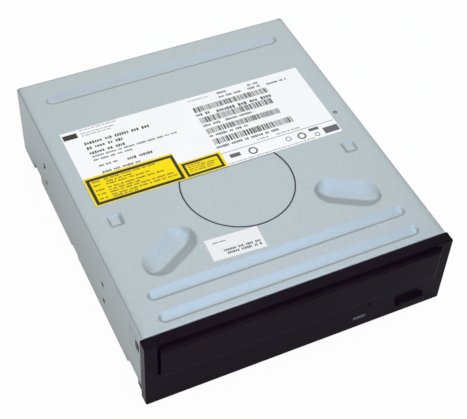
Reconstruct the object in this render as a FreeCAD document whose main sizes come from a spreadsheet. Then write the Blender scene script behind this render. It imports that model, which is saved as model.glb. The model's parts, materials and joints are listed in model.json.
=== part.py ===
import FreeCAD, Part
import math
import os
import re

import Sketcher

# Internal half-height disc drive with a sliding disc tray.
# Frame: the origin is the middle of the case's front plane, level with its underside.
# +X is to the right seen from the front, +Y runs to the back, +Z is up. All lengths are in millimetres.

V = FreeCAD.Vector
TURN = {
    "z": FreeCAD.Rotation(V(0, 0, 1), 0),
    "y": FreeCAD.Rotation(V(1, 0, 0), -90),
    "x": FreeCAD.Rotation(V(0, 1, 0), 90),
}
NORMAL_SIGN = {"XY_Plane": 1, "XZ_Plane": -1, "YZ_Plane": 1}
# A sketch's outline starts as a regular polygon here, before its constraints move the corners.
START_MIDDLE = V(40, 0, 0)
START_RADIUS = 10

SIZES = {
    # Case of folded steel sheet
    "case_width": 146.0,
    "case_depth": 164.0,
    "case_height": 41.3,
    "sheet_thick": 0.8,
    "fold_round": 1.0,
    "cover_gap": 0.2,
    "flange_height": 6.0,
    "rear_split": 18.0,
    # Fixing holes of the drive-bay standard
    "side_hole_front": 47.4,
    "hole_pitch_long": 79.25,
    "side_hole_low": 10.0,
    "side_hole_pitch": 11.84,
    "under_hole_edge": 3.15,
    "fixing_radius": 1.25,
    "collar_thick": 0.75,
    "collar_length": 1.4,
    # Pressed shapes in the cover
    "rib_end_gap": 10.6,
    "rib_depth": 0.9,
    "rib_slope": 1.5,
    "front_rib_y": 6.4,
    "second_rib_y": 18.7,
    "front_rib_width": 5.3,
    "rear_rib_gap": 14.8,
    "rear_rib_width": 6.2,
    "dish_edge_gap": 28.5,
    "dish_y": 38.5,
    "dish_turn": 30.5,
    "dish_length": 30.4,
    "dish_width": 16.4,
    "dish_depth": 1.5,
    "dish_slope": 7.2,
    "square_edge_gap": 13.5,
    "square_y": 64.1,
    "square_side": 6.8,
    "square_depth": 0.7,
    "square_slope": 1.4,
    "disc_press_radius": 26.7,
    "disc_press_depth": 0.4,
    "disc_press_slope": 0.6,
    # Cut-outs in the lower edge of the cover's walls
    "front_notch_start": 6.8,
    "front_notch_end": 19.0,
    "front_notch_height": 3.6,
    "mid_notch_start": 83.5,
    "mid_notch_end": 92.0,
    "mid_notch_height": 1.8,
    "rear_notch_length": 11.0,
    "rear_notch_gap": 16.0,
    "rear_notch_height": 5.4,
    "corner_cut": 2.0,
    "clip_slot_start": 5.0,
    "clip_slot_end": 9.0,
    "clip_slot_low": 24.5,
    "clip_slot_high": 29.6,
    "clip_patch_end": 14.6,
    "clip_patch_low": 18.5,
    "clip_patch_high": 33.0,
    "clip_patch_depth": 0.25,
    "clip_play": 0.3,
    # Front bezel
    "bezel_overlap": 1.0,
    "bezel_step": 0.4,
    "bezel_drop": 0.6,
    "bezel_thick": 5.0,
    "bezel_round": 0.8,
    "skirt_depth": 6.4,
    "skirt_height": 3.0,
    "skirt_width": 5.4,
    "clip_arm_thick": 1.5,
    "clip_arm_length": 11.0,
    "pinhole_offset": 22.0,
    "pinhole_z": 14.1,
    "pinhole_radius": 0.8,
    # Drawer front
    "door_margin": 6.6,
    "door_height": 18.6,
    "door_base": 19.9,
    "door_gap": 0.8,
    "door_proud": 2.4,
    "door_wall": 2.2,
    "door_round": 0.9,
    # Eject button and light
    "button_edge_gap": 16.3,
    "button_z": 7.05,
    "button_width": 13.4,
    "button_height": 4.1,
    "button_gap": 0.6,
    "button_proud": 2.5,
    "button_round": 1.7,
    "button_travel": 1.0,
    "button_flange": 1.2,
    "stem_side": 2.4,
    "light_offset": 26.45,
    "light_z": 7.1,
    "light_width": 6.4,
    "light_height": 1.8,
    "light_proud": 0.3,
    "light_play": 0.1,
    # Disc tray
    "spindle_y": 63.5,
    "tray_side_gap": 8.5,
    "tray_base": 24.9,
    "tray_height": 5.6,
    "tray_wall": 1.6,
    "tray_rear_gap": 8.0,
    "recess_margin": 3.7,
    "recess_depth": 3.2,
    "small_recess_radius": 40.6,
    "small_recess_depth": 0.8,
    "slot_half_width": 17.5,
    "runner_width": 3.0,
    "runner_height": 4.0,
    "runner_play": 0.3,
    "tray_side_play": 0.6,
    "rack_module": 1.0,
    "rack_bar_width": 3.0,
    "tooth_angle": 20.0,
    "tooth_play": 0.42,
    "tooth_height": 0.7,
    "tooth_root": 1.1,
    # Chassis
    "chassis_wall": 2.0,
    "front_wall_y": 2.7,
    "front_wall_top": 19.3,
    "deck_base": 13.4,
    "deck_thick": 1.6,
    "deck_end": 28.9,
    "cam_wall_thick": 1.2,
    "cam_wall_inset": 21.1,
    "side_deck_width": 15.1,
    "chassis_rear_gap": 13.0,
    "rear_beam_thick": 2.0,
    "ledge_width": 4.1,
    "ledge_thick": 1.9,
    "hook_length": 9.0,
    "hook_width": 2.2,
    "hook_thick": 1.4,
    "hook_gap": 0.5,
    "post_height": 40.2,
    "board_post_inset": 9.1,
    "board_post_radius": 3.0,
    "post_front_y": 96.0,
    "post_rear_inset": 6.0,
    # Clamp over the disc
    "bridge_base": 35.4,
    "bridge_thick": 0.8,
    "bridge_length": 27.0,
    "bridge_hole_radius": 12.0,
    "bridge_boss_offset": 0.9,
    "bridge_boss_length": 8.0,
    "clamp_base": 31.0,
    "clamp_radius": 11.0,
    "clamp_flange_radius": 14.0,
    "clamp_flange_thick": 1.4,
    "clamp_flange_gap": 0.2,
    "clamp_pocket_radius": 8.6,
    "clamp_pocket_depth": 3.4,
    "yoke_radius": 8.0,
    "yoke_thick": 1.0,
    # Loading drive
    "motor_x": 12.0,
    "motor_y": 16.8,
    "motor_radius": 11.7,
    "motor_height": 12.0,
    "motor_boss_radius": 3.0,
    "motor_boss_height": 1.4,
    "motor_shaft_radius": 1.0,
    "motor_screw_pitch": 17.0,
    "motor_screw_radius": 0.8,
    "motor_screw_head": 1.7,
    "motor_screw_rise": 0.8,
    "motor_screw_bite": 2.0,
    "small_pulley_radius": 3.0,
    "large_pulley_radius": 10.0,
    "pulley_z": 17.6,
    "pulley_width": 2.8,
    "pulley_rim": 0.7,
    "belt_thick": 1.2,
    "drive_edge_gap": 24.5,
    "drive_y": 18.0,
    "drive_teeth": 30,
    "drive_pinion_teeth": 16,
    "pulley_pinion_teeth": 10,
    "gear_module": 0.8,
    "gear_level": 19.5,
    "gear_thick": 1.8,
    "pinion_thick": 2.7,
    "gear_hub_radius": 3.4,
    "gear_post_radius": 2.0,
    "post_play": 0.06,
    "gear_lift": 0.2,
    # Cam slider
    "cam_gap": 0.3,
    "cam_thick": 2.6,
    "cam_left": -38.0,
    "cam_right": 28.0,
    "cam_base": 4.7,
    "cam_top": 18.2,
    "cam_travel": 14.0,
    "cam_play": 0.15,
    "cam_track_thick": 1.6,
    "cam_arm_left": -28.0,
    "cam_arm_right": -12.0,
    "cam_rack_reach": 3.6,
    "pin_radius": 1.5,
    "pin_drop": 8.2,
    "pin_level": 15.6,
    "pin_left_x": -10.0,
    "pin_right_x": 24.0,
    # Lift frame and traverse
    "frame_side_gap": 4.0,
    "frame_front": 36.0,
    "frame_base": 10.5,
    "frame_thick": 3.5,
    "frame_bar": 8.0,
    "frame_front_bar": 5.0,
    "ear_play": 1.0,
    "frame_rear_bar": 6.0,
    "pivot_inset": 4.0,
    "pivot_radius": 2.0,
    "pivot_play": 0.1,
    "bracket_thick": 2.5,
    "bracket_side_play": 0.4,
    "bracket_half": 4.0,
    "damper_inset": 4.2,
    "damper_front_y": 43.8,
    "damper_rear_inset": 5.4,
    "damper_radius": 3.6,
    "damper_waist": 2.4,
    "damper_low": 1.8,
    "damper_high": 1.6,
    "damper_screw_radius": 1.1,
    "damper_head_radius": 2.5,
    "damper_head_height": 1.2,
    "base_inset": 0.6,
    "base_front": 39.8,
    "base_thick": 1.0,
    "base_fold": 3.4,
    "window_half": 21.0,
    "window_front": 84.0,
    "window_gap": 7.0,
    # Disc motor
    "seat_level": 30.3,
    "rotor_radius": 14.0,
    "rotor_height": 10.2,
    "rotor_wall": 1.0,
    "rotor_pot_depth": 5.4,
    "table_radius": 14.6,
    "table_thick": 1.3,
    "pad_thick": 0.4,
    "pad_inner": 11.4,
    "shaft_radius": 1.0,
    "shaft_play": 0.05,
    "housing_radius": 4.0,
    "housing_drop": 3.0,
    "housing_rise": 4.6,
    "stator_radius": 11.6,
    "stator_thick": 2.6,
    "motor_plate_half": 17.0,
    "motor_plate_thick": 1.0,
    "hub_radius": 7.45,
    "hub_height": 2.0,
    "hub_cone": 1.6,
    # Laser pickup
    "rod_x": 24.0,
    "rod_radius": 1.5,
    "rod_play": 0.05,
    "rod_level": 20.5,
    "rod_front": 74.6,
    "holder_length": 4.0,
    "holder_width": 6.4,
    "holder_height": 6.4,
    "pickup_front": 79.6,
    "pickup_length": 28.0,
    "pickup_half_width": 27.0,
    "pickup_base": 17.4,
    "pickup_top": 24.2,
    "pickup_stop_gap": 5.4,
    "stop_play": 0.3,
    "lens_offset": 8.6,
    "dome_half": 12.0,
    "dome_length": 17.0,
    "dome_height": 3.0,
    "actuator_thick": 1.0,
    "lens_hole_radius": 5.0,
    "holder_radius": 4.3,
    "lens_radius": 2.4,
    "lens_bulge": 0.7,
    "lens_rise": 0.3,
    "lens_stroke": 0.4,
    "screw_x": 33.0,
    "screw_radius": 1.5,
    "screw_lead": 3.0,
    "journal_radius": 0.75,
    "journal_length": 3.0,
    "nut_play": 0.3,
    "nut_offset": 2.0,
    "nut_length": 10.0,
    "nut_height": 4.0,
    "feed_motor_gap": 17.6,
    "feed_motor_radius": 3.7,
    "feed_motor_length": 12.0,
    "feed_plate_thick": 1.0,
    # Circuit boards and connectors
    "board_base": 4.0,
    "board_thick": 1.6,
    "board_front": 88.0,
    "board_side_gap": 13.0,
    "board_rear_gap": 1.0,
    "connector_depth": 12.0,
    "connector_proud": 0.6,
    "connector_wall": 1.0,
    "panel_gap": 0.4,
    "data_x": 1.0,
    "data_width": 58.0,
    "data_height": 9.0,
    "pin_pitch": 2.54,
    "pin_side": 0.64,
    "data_columns": 20,
    "power_edge_gap": 25.0,
    "power_width": 24.0,
    "power_height": 10.0,
    "power_pin_radius": 1.05,
    "power_pitch": 5.08,
    "jumper_offset": 11.0,
    "jumper_width": 9.0,
    "audio_edge_gap": 18.5,
    "audio_width": 10.6,
    "audio_height": 6.4,
    "chip_thick": 1.4,
    "large_chip": 20.0,
    "small_chip": 12.0,
    "controller_x": -10.0,
    "controller_back": 32.0,
    "memory_x": 22.0,
    "memory_back": 30.0,
    "driver_x": -36.0,
    "driver_back": 14.0,
    "capacitor_radius": 2.5,
    "capacitor_height": 4.0,
    "capacitor_back": 56.0,
    "front_board_reach": 4.75,
    "front_board_edge": 10.0,
    "front_board_front": 8.2,
    "front_board_depth": 12.0,
    "front_board_base": 2.6,
    "front_post_offset": 8.25,
    "front_post_edge": 13.0,
    "front_post_y": 16.0,
    "front_post_radius": 2.2,
    "switch_side": 6.0,
    "switch_depth": 3.5,
    "switch_tip": 1.2,
    # Screws
    "screw_head_radius": 2.4,
    "screw_head_height": 1.2,
    "screw_shank_radius": 1.2,
    "screw_play": 0.15,
    "bore_play": 0.02,
    "cover_screw_inset": 6.9,
    "cover_screw_front": 12.0,
    "cover_screw_gap": 25.0,
    "cover_screw_length": 6.0,
    "cover_screw_head": 0.6,
    # Printed labels
    "label_thick": 0.12,
    "label_left_gap": 8.4,
    "label_right_gap": 11.5,
    "label_front": 74.8,
    "label_rear": 124.7,
    "field_thick": 0.08,
    "field_one_length": 44.2,
    "field_one_rear": 92.8,
    "field_two_length": 21.2,
    "field_two_rear": 85.2,
    "small_label_x": -16.3,
    "small_label_y": 30.8,
    "small_label_length": 25.2,
    "small_label_width": 12.4,
    "small_label_turn": -2.6,
}

# Places worked out from the sizes
PLACES = {
    "case_side": "case_width / 2",
    "under_hole_pitch": "case_width - 2 * under_hole_edge",
    "rib_half_length": "case_side - rib_end_gap",
    "rear_rib_y": "case_depth - rear_rib_gap",
    "dish_x": "case_side - dish_edge_gap",
    "square_x": "case_side - square_edge_gap",
    "rear_notch_end": "case_depth - rear_notch_gap",
    "rear_notch_start": "rear_notch_end - rear_notch_length",
    "bezel_width": "case_width + 2 * bezel_overlap",
    "door_width": "bezel_width - 2 * door_margin",
    "button_x": "case_side - button_edge_gap",
    "light_x": "button_x - light_offset",
    "pinhole_x": "button_x - pinhole_offset",
    "tray_width": "case_width - 2 * tray_side_gap",
    "recess_radius": "tray_width / 2 - recess_margin",
    "tray_length": "case_depth - tray_rear_gap",
    "tray_plate_end": "spindle_y + recess_radius + recess_margin",
    "chassis_end": "case_depth - chassis_rear_gap",
    "cam_wall_half": "chassis_inside - cam_wall_inset",
    "side_deck_inner": "chassis_inside - side_deck_width",
    "board_post_x": "chassis_inside - board_post_inset",
    "post_rear_y": "chassis_end - post_rear_inset",
    "bridge_screw_x": "chassis_outside + bridge_boss_offset",
    "cover_screw_x": "case_side - cover_screw_inset",
    "cover_screw_rear": "case_depth - cover_screw_gap",
    "pivot_y": "chassis_end - pivot_inset",
    "frame_half_width": "side_deck_inner - frame_side_gap",
    "damper_x": "frame_half_width - damper_inset",
    "damper_rear_y": "pivot_y - damper_rear_inset",
    "base_half_width": "frame_half_width - base_inset",
    "base_rear": "pivot_y",
    "board_half_width": "case_side - board_side_gap",
    "power_x": "power_edge_gap - case_side",
    "audio_x": "case_side - audio_edge_gap",
    "jumper_x": "audio_x - jumper_offset",
    "front_board_right": "case_side - front_board_edge",
    "front_board_left": "light_x - front_board_reach",
    "front_post_left": "light_x + front_post_offset",
    "front_post_right": "case_side - front_post_edge",
    "drive_x": "drive_edge_gap - tray_side",
    "feed_motor_y": "pivot_y - feed_motor_gap",
    "window_rear": "pivot_y - window_gap",
    "pickup_travel": "pivot_y - pickup_stop_gap - pickup_length - pickup_front",
    "label_left": "label_left_gap - case_side",
    "label_right": "case_side - label_right_gap",
    "field_one_right": "label_left + field_one_length",
    "field_two_right": "field_one_right + field_two_length",
    "wall_inside": "case_side - sheet_thick",
    "cover_under": "case_height - sheet_thick",
    "flange_outside": "wall_inside - cover_gap",
    "rear_inside": "case_depth - sheet_thick",
    "side_hole_rear": "side_hole_front + hole_pitch_long",
    "side_hole_high": "side_hole_low + side_hole_pitch",
    "under_hole_x": "under_hole_pitch / 2",
    "collar_radius": "fixing_radius + collar_thick",
    "skirt_inner": "case_side - skirt_width - clip_play",
    "front_y": "-bezel_thick",
    "bezel_top": "case_height - bezel_step",
    "door_top": "door_base + door_height",
    "door_front": "front_y - door_proud",
    "button_front": "front_y - button_proud",
    "tray_side": "tray_width / 2",
    "tray_rim": "tray_base + tray_height",
    "recess_floor": "tray_rim - recess_depth",
    "small_floor": "recess_floor - small_recess_depth",
    "runner_base": "tray_base - runner_height",
    "ledge_top": "runner_base - runner_play",
    "ledge_base": "ledge_top - ledge_thick",
    "chassis_inside": "tray_side + tray_side_play",
    "chassis_outside": "chassis_inside + chassis_wall",
    "front_wall_back": "front_wall_y + chassis_wall",
    "deck_top": "deck_base + deck_thick",
    "cam_wall_back": "deck_end + cam_wall_thick",
    "cam_front": "cam_wall_back + cam_gap",
    "cam_back": "cam_front + cam_thick",
    "track_top": "cam_base - cam_gap",
    "hook_base": "tray_rim + hook_gap",
    "bridge_top": "bridge_base + bridge_thick",
    "bridge_front": "spindle_y - bridge_length / 2",
    "bridge_rear": "spindle_y + bridge_length / 2",
    "clamp_flange_base": "bridge_top + clamp_flange_gap",
    "clamp_top": "clamp_flange_base + clamp_flange_thick",
    "motor_top": "deck_base",
    "pulley_low": "pulley_z - pulley_width / 2",
    "pulley_high": "pulley_z + pulley_width / 2",
    "drive_radius": "gear_module * drive_teeth / 2",
    "pulley_pinion_radius": "gear_module * pulley_pinion_teeth / 2",
    "pinion_radius": "rack_module * drive_pinion_teeth / 2",
    "pulley_x": "drive_x + drive_radius + pulley_pinion_radius",
    "rack_line": "drive_x - pinion_radius",
    "rack_root": "rack_line - tooth_root * rack_module",
    "rack_back": "rack_root - rack_bar_width",
    "gear_top": "gear_level + gear_thick",
    "pinion_base": "tray_base - gear_lift - pinion_thick - gear_lift",
    "pinion_top": "pinion_base + pinion_thick",
    "base_low": "frame_base + frame_thick + damper_low",
    "base_high": "base_low + base_thick",
    "pivot_level": "frame_base + frame_thick / 2",
    "pivot_end": "frame_half_width + bracket_side_play + bracket_thick",
    "rotor_base": "seat_level - pad_thick - table_thick - rotor_height",
    "table_base": "rotor_base + rotor_height",
    "table_top": "table_base + table_thick",
    "rod_rear": "pickup_front + pickup_length + pickup_travel + stop_play + holder_length",
    "lens_y": "pickup_front + lens_offset",
    "dome_top": "pickup_top + dome_height",
    "actuator_top": "dome_top + actuator_thick",
    "lens_floor": "pickup_top",
    "board_top": "board_base + board_thick",
    "board_rear": "rear_inside - board_rear_gap",
    "connector_front": "case_depth + connector_proud - connector_depth",
    "connector_rear": "case_depth + connector_proud",
    "front_board_top": "front_board_base + board_thick",
    "label_top": "case_height + label_thick",
}

doc = FreeCAD.newDocument("DiscDrive")
sheet = doc.addObject("Spreadsheet::Sheet", "Sizes")
NODES = []


def fill_sheet():
    """Write every driving dimension into the sheet, one row each."""
    for row, (name, value) in enumerate(SIZES.items(), start=1):
        sheet.set(f"A{row}", name)
        sheet.set(f"B{row}", str(value))
        sheet.setAlias(f"B{row}", name)
    doc.recompute()


def formula(text):
    """Spell a formula out in the sheet's cells, with named places opened up."""

    def swap(match):
        word = match.group(0)
        if word in PLACES:
            return "(" + formula(PLACES[word]) + ")"
        return "Sizes." + word

    return re.sub(r"[a-z]+(?:_[a-z]+)+", swap, str(text))


def measured(cell, text):
    """Write a formula into a cell of the sheet beside the sizes and read its value."""
    sheet.set(cell, "=" + formula(text).replace("Sizes.", ""))
    doc.recompute()
    return float(sheet.get(cell))


def bind(thing, **formulas):
    """Drive properties of an object by formulas; two underscores stand for a dot."""
    for prop, text in formulas.items():
        thing.setExpression(prop.replace("__", "."), formula(text))


def put(thing, at, axis="z", turn=None):
    """Place a solid at a point given by formulas, with its own Z along the named axis."""
    thing.Placement = FreeCAD.Placement(V(), TURN[axis])
    if turn is not None:
        thing.Placement = FreeCAD.Placement(V(), FreeCAD.Rotation(V(0, 0, 1), 1))
        bind(thing, Placement__Rotation__Angle=turn)
    bind(thing, Placement__Base__x=at[0], Placement__Base__y=at[1], Placement__Base__z=at[2])
    return thing


def keep(thing, label):
    """Name a finished sub-part and put it on the list of files to write."""
    thing.Label = label
    NODES.append(thing)
    return thing


def box(name, x, y, z):
    """A block between low and high formulas along each axis."""
    solid = doc.addObject("Part::Box", name)
    bind(
        solid,
        Length=f"({x[1]}) - ({x[0]})",
        Width=f"({y[1]}) - ({y[0]})",
        Height=f"({z[1]}) - ({z[0]})",
    )
    return put(solid, (x[0], y[0], z[0]))


def centred(half, middle="0"):
    """Low and high formulas of a stretch about its middle."""
    return (f"({middle}) - ({half})", f"({middle}) + ({half})")


def rod(name, radius, at, length, axis="z"):
    """A cylinder that starts at a point and runs along the named axis."""
    solid = doc.addObject("Part::Cylinder", name)
    bind(solid, Radius=radius, Height=length)
    return put(solid, at, axis)


def cone(name, low_radius, high_radius, at, length):
    """An upright cone with its lower end at a point."""
    solid = doc.addObject("Part::Cone", name)
    bind(solid, Radius1=low_radius, Radius2=high_radius, Height=length)
    return put(solid, at)


def fuse(name, *solids):
    """Join solids into one."""
    whole = doc.addObject("Part::MultiFuse", name)
    whole.Shapes = list(solids)
    whole.Refine = True
    return whole


def cut(name, base, *tools):
    """Take tools away from a solid."""
    tool = tools[0] if len(tools) == 1 else fuse(name + "_tools", *tools)
    whole = doc.addObject("Part::Cut", name)
    whole.Base = base
    whole.Tool = tool
    return whole


def group(name, solids):
    """Separate like solids that share one file."""
    whole = doc.addObject("Part::Compound", name)
    whole.Links = list(solids)
    return whole


def new_sketch(body, plane, level="0"):
    """A sketch on one of the body's own planes, moved along that plane's axis to a level."""
    planes = {item.Role: item for item in body.Origin.OriginFeatures}
    sketch = body.newObject("Sketcher::SketchObject", body.Name + "_sketch")
    sketch.AttachmentSupport = [(planes[plane], "")]
    sketch.MapMode = "FlatFace"
    sign = "" if NORMAL_SIGN[plane] > 0 else "-"
    bind(sketch, AttachmentOffset__Base__z=f"{sign}({level})")
    return sketch


def add_outline(sketch, points):
    """A closed outline of straight sides whose corners are formulas."""
    count = len(points)
    spoke = V(START_RADIUS, 0, 0)
    turns = [FreeCAD.Rotation(V(0, 0, 1), 360 * i / count) for i in range(count)]
    start = [START_MIDDLE + turn.multVec(spoke) for turn in turns]
    sides = [sketch.addGeometry(Part.LineSegment(start[i], start[(i + 1) % count])) for i in range(count)]
    for i, side in enumerate(sides):
        sketch.addConstraint(Sketcher.Constraint("Coincident", side, 2, sides[(i + 1) % count], 1))
    for side, point in zip(sides, points):
        for kind, place in zip(("DistanceX", "DistanceY"), point):
            index = sketch.addConstraint(Sketcher.Constraint(kind, -1, 1, side, 1, 1.0))
            sketch.setExpression(f"Constraints[{index}]", formula(place))


def add_circle(sketch, x, y, radius):
    """A circle whose middle and radius are formulas."""
    circle = sketch.addGeometry(Part.Circle(V(5, 5, 0), V(0, 0, 1), 1))
    for kind, place in (("DistanceX", x), ("DistanceY", y)):
        index = sketch.addConstraint(Sketcher.Constraint(kind, -1, 1, circle, 3, 5.0))
        sketch.setExpression(f"Constraints[{index}]", formula(place))
    index = sketch.addConstraint(Sketcher.Constraint("Radius", circle, 1.0))
    sketch.setExpression(f"Constraints[{index}]", formula(radius))


def add_rectangle(sketch, x, y):
    """A rectangle between low and high formulas."""
    add_outline(sketch, [(x[0], y[0]), (x[1], y[0]), (x[1], y[1]), (x[0], y[1])])


def new_body(name):
    """An empty body for sketched features."""
    return doc.addObject("PartDesign::Body", name)


def pad(body, sketch, length):
    """Raise a sketch along its plane's normal."""
    feature = body.newObject("PartDesign::Pad", body.Name + "_pad")
    feature.Profile = sketch
    bind(feature, Length=length)
    return feature


def pocket(body, sketch, length):
    """Cut against the sketch plane's normal."""
    feature = body.newObject("PartDesign::Pocket", body.Name + "_pocket")
    feature.Profile = sketch
    bind(feature, Length=length)
    return feature


def round_edges(body, feature, axis, radius, wanted=None):
    """Round a feature's straight edges that run along one axis."""
    doc.recompute()
    names = []
    for index, edge in enumerate(feature.Shape.Edges, start=1):
        ends = edge.Vertexes
        if len(ends) != 2:
            continue
        run = ends[1].Point - ends[0].Point
        along = abs(run.normalize().dot(axis)) > 0.999
        if along and (wanted is None or wanted(edge.CenterOfMass)):
            names.append(f"Edge{index}")
    fillet = body.newObject("PartDesign::Fillet", body.Name + "_round")
    fillet.Base = (feature, names)
    bind(fillet, Radius=radius)
    return fillet


def round_front(body, feature, front, radius):
    """Round the edges of a moulding's front face, which lies at the given Y."""
    doc.recompute()
    edges = enumerate(feature.Shape.Edges, start=1)
    names = [f"Edge{i}" for i, edge in edges if abs(edge.CenterOfMass.y - front) < 0.001]
    fillet = body.newObject("PartDesign::Fillet", body.Name + "_front_round")
    fillet.Base = (feature, names)
    bind(fillet, Radius=radius)
    return fillet


def turned(name, outline, at=("0", "0", "0"), axis="z"):
    """A piece turned about its own axis, from radius and height formulas."""
    body = new_body(name)
    sketch = new_sketch(body, "XZ_Plane")
    add_outline(sketch, outline)
    spin = body.newObject("PartDesign::Revolution", name + "_spin")
    spin.Profile = sketch
    spin.ReferenceAxis = (sketch, ["V_Axis"])
    spin.Angle = 360
    return put(body, at, axis)


def toothed(name, module, teeth, thick, at, turn):
    """A spur wheel: a disc with one tooth gap cut along +X and repeated round it."""
    body = new_body(name)
    disc = new_sketch(body, "XY_Plane")
    add_circle(disc, "0", "0", f"{module} * ({teeth} / 2 + tooth_height)")
    pad(body, disc, thick)
    gap = new_sketch(body, "XY_Plane", thick)
    pitch_radius = f"{module} * {teeth} / 2"
    half = f"(pi * {module} / 4 + tooth_play / 4)"
    inner = f"({half} - tooth_root * {module} * tan(tooth_angle))"
    outer = f"({half} + tooth_root * {module} * tan(tooth_angle))"
    low, high = f"{pitch_radius} - tooth_root * {module}", f"{pitch_radius} + tooth_root * {module}"
    add_outline(gap, [(low, f"-{inner}"), (high, f"-{outer}"), (high, outer), (low, inner)])
    notch = pocket(body, gap, thick)
    ring = body.newObject("PartDesign::PolarPattern", name + "_teeth")
    ring.Originals = [notch]
    ring.Axis = (disc, ["N_Axis"])
    ring.Angle = 360
    bind(ring, Occurrences=teeth)
    body.Tip = ring
    return put(body, at, turn=turn)


def screw(name, at, head_radius, head_height, shank_radius, shank_length, head_up=True):
    """A plain pan-head screw whose head stands on its seat at the given point."""
    way = "1" if head_up else "-1"
    outline = [
        ("0", f"{way} * ({head_height})"),
        (head_radius, f"{way} * ({head_height})"),
        (head_radius, "0"),
        (shank_radius, "0"),
        (shank_radius, f"-{way} * ({shank_length})"),
        ("0", f"-{way} * ({shank_length})"),
    ]
    return turned(name, outline, at)


def corners(x, y_values):
    """The places of four like features, left and right at two depths."""
    return [(f"{sign} * {x}", y) for sign in ("-1", "1") for y in y_values]


def pressing(name, x, y, half_length, width, depth, slope, turn="0"):
    """A long shape pressed into the cover: the bulge below the sheet and the hollow above."""
    grow = f"sheet_thick * (sqrt(({slope})^2 + ({depth})^2) - ({slope})) / ({depth})"
    run = f"(({half_length}) - ({width}) / 2)"
    shapes = []
    for part, extra, level in (("bulge", grow, "cover_under"), ("hollow", "0", "case_height")):
        top = f"(({width}) / 2 + {extra})"
        low = f"({top} - ({slope}))"
        middle = doc.addObject("Part::Wedge", f"{name}_{part}_middle")
        middle.Placement = FreeCAD.Placement(V(), FreeCAD.Rotation(V(1, 0, 0), 90))
        bind(middle, Xmin=f"-{run}", X2min=f"-{run}", Xmax=run, X2max=run)
        bind(middle, Zmin=f"-{low}", Zmax=low, Z2min=f"-{top}", Z2max=top, Ymin=f"-({depth})", Ymax="0")
        ends = [
            cone(f"{name}_{part}_end", low, top, (f"{sign} * {run}", "0", f"-({depth})"), depth)
            for sign in ("-1", "1")
        ]
        whole = fuse(f"{name}_{part}", middle, *ends)
        shapes.append(put(whole, (x, y, level), turn=turn))
    return shapes


def square_pressing(name, x, y):
    grow = "sheet_thick * (sqrt(square_slope^2 + square_depth^2) - square_slope) / square_depth"
    shapes = []
    for part, extra, level in (("bulge", grow, "cover_under"), ("hollow", "0", "case_height")):
        top = f"(square_side / 2 + {extra})"
        low = f"({top} - square_slope)"
        solid = doc.addObject("Part::Wedge", f"{name}_{part}")
        bind(solid, Ymin="-square_depth", Ymax="0")
        for low_end, high_end in (("Xmin", "Xmax"), ("Zmin", "Zmax")):
            bind(solid, **{low_end: f"-{low}", high_end: low})
        for low_end, high_end in (("X2min", "X2max"), ("Z2min", "Z2max")):
            bind(solid, **{low_end: f"-{top}", high_end: top})
        shapes.append(put(solid, (x, y, level)))
        solid.Placement = FreeCAD.Placement(V(), FreeCAD.Rotation(V(1, 0, 0), 90))
    return shapes


def disc_pressing():
    slope = "disc_press_slope"
    shapes = []
    for part, grow, level in (("bulge", slope, "cover_under"), ("hollow", "0", "case_height")):
        top = f"(disc_press_radius + {grow})"
        place = ("0", "spindle_y", f"{level} - disc_press_depth")
        shapes.append(cone(f"disc_{part}", f"{top} - {slope}", top, place, "disc_press_depth"))
    return shapes


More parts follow.
